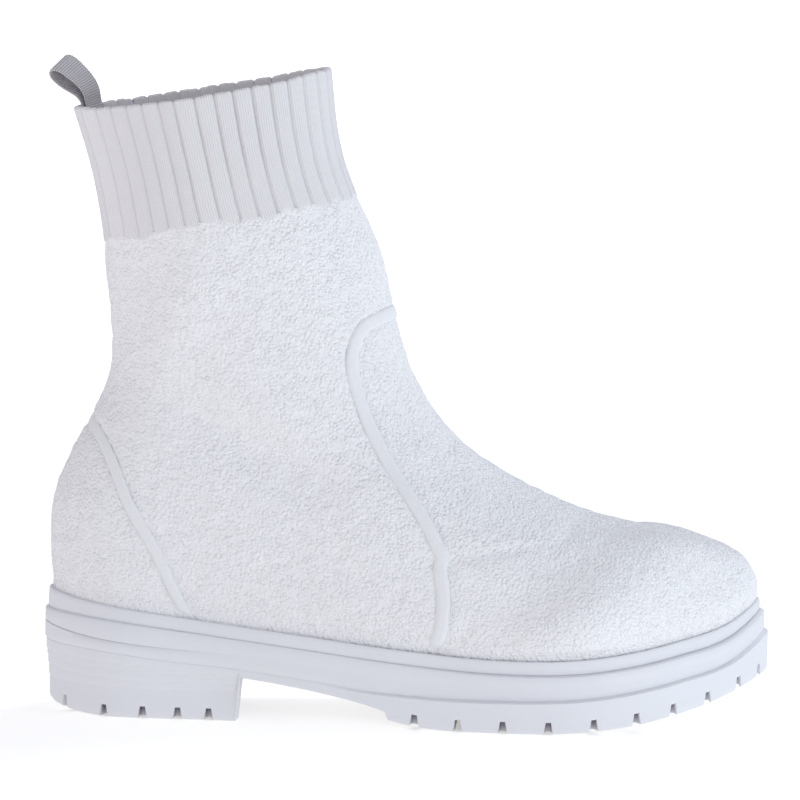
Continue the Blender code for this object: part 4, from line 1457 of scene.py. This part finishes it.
class BOOT_OT_stage(bpy.types.Operator):
    """Make the pale floor, the soft lights and the camera at the photograph's angle"""

    bl_idname = "boot.stage"
    bl_label = "Stage"

    def execute(self, context):
        scene = context.scene
        target = Vector((np.array(CAMERA_TARGET) + FRAME_SHIFT) * MM)
        self.add_floor(scene)
        self.add_camera(scene, target)
        for row in LIGHTS.rows:
            self.add_light(scene, row, target)
        room = bpy.data.worlds.new("studio")
        room.use_nodes = True
        room.node_tree.nodes["Background"].inputs["Color"].default_value = shade(ROOM_LIGHT)
        scene.world = room
        scene.view_settings.view_transform = "Standard"
        return {"FINISHED"}

    def add_floor(self, scene):
        """Flat square grid at the height of the sole's lugs, with a glow that grows outward."""
        side = np.linspace(-FLOOR_SIZE / 2, FLOOR_SIZE / 2, 3)
        x, y = np.meshgrid(side, side)
        places = np.stack((x, y, 0 * x), axis=-1).reshape(-1, 3)
        mesh = bpy.data.meshes.new("floor")
        mesh.from_pydata(places, [], grid_faces(3, 3, wrap_columns=False).tolist())
        finish = Finish("pale_floor")
        length = {"operation": "LENGTH"}
        away = finish.node("ShaderNodeVectorMath", length, {0: finish.place()}, "Value")
        far = finish.within(away, *GLOW_SPAN)
        finish.surface(
            base_color=shade(scene.boot_colours.floor),
            roughness=0.9,
            emission_color=finish.blend(shade(GLOW_NEAR), shade(GLOW_FAR), far),
            emission_strength=1.0,
        )
        mesh.materials.append(finish.material)
        floor = bpy.data.objects.new("floor", mesh)
        scene.collection.objects.link(floor)

    def add_camera(self, scene, target):
        """Camera that looks along +Y and a little down, turned a little about its view."""
        lens = bpy.data.cameras.new("photo_camera")
        lens.lens = CAMERA_LENS
        lens.sensor_width = 36.0
        camera = bpy.data.objects.new("photo_camera", lens)
        tilt = np.radians(CAMERA_ELEVATION)
        back = Vector((0.0, -np.cos(tilt), np.sin(tilt)))
        camera.location = target + back * CAMERA_DISTANCE * MM
        camera.rotation_mode = "ZYX"
        camera.rotation_euler = (np.pi / 2 - tilt, 0.0, np.radians(CAMERA_ROLL))
        scene.collection.objects.link(camera)
        scene.camera = camera

    def add_light(self, scene, row, target):
        """Soft box that faces the boot."""
        number, x, y, z, wide, tall, power, *colour = row
        box = bpy.data.lights.new(f"soft_box_{int(number)}", "AREA")
        box.shape = "RECTANGLE"
        box.size = wide
        box.size_y = tall
        box.energy = power
        box.color = colour
        light = bpy.data.objects.new(box.name, box)
        light.location = (x, y, z)
        light.rotation_euler = (target - light.location).to_track_quat("-Z", "Y").to_euler()
        scene.collection.objects.link(light)


OPERATORS = (
    BOOT_OT_knit,
    BOOT_OT_cuff,
    BOOT_OT_tapes,
    BOOT_OT_midsole,
    BOOT_OT_outsole,
    BOOT_OT_insole,
    BOOT_OT_pull_loop,
    BOOT_OT_stage,
)


class BOOT_PT_panel(bpy.types.Panel):
    """Lists the boot's pieces with the sizes and colours of their finish"""

    bl_idname = "BOOT_PT_panel"
    bl_label = "Ankle Boot"
    bl_space_type = "VIEW_3D"
    bl_region_type = "UI"
    bl_category = "Boot"

    def draw(self, context):
        for piece in OPERATORS:
            self.layout.operator(piece.bl_idname)
        for group in (context.scene.boot_sizes, context.scene.boot_colours):
            column = self.layout.column()
            for name in group.__annotations__:
                column.prop(group, name)


CLASSES = (BootSizes, BootColours, *OPERATORS, BOOT_PT_panel)


def register():
    for item in CLASSES:
        bpy.utils.register_class(item)
    bpy.types.Scene.boot_sizes = PointerProperty(type=BootSizes)
    bpy.types.Scene.boot_colours = PointerProperty(type=BootColours)


def unregister():
    del bpy.types.Scene.boot_colours
    del bpy.types.Scene.boot_sizes
    for item in reversed(CLASSES):
        bpy.utils.unregister_class(item)


def main():
    register()
    bpy.ops.boot.knit()
    bpy.ops.boot.cuff()
    bpy.ops.boot.tapes()
    bpy.ops.boot.midsole()
    bpy.ops.boot.outsole()
    bpy.ops.boot.insole()
    bpy.ops.boot.pull_loop()
    bpy.ops.boot.stage()


if __name__ == "__main__":
    main()
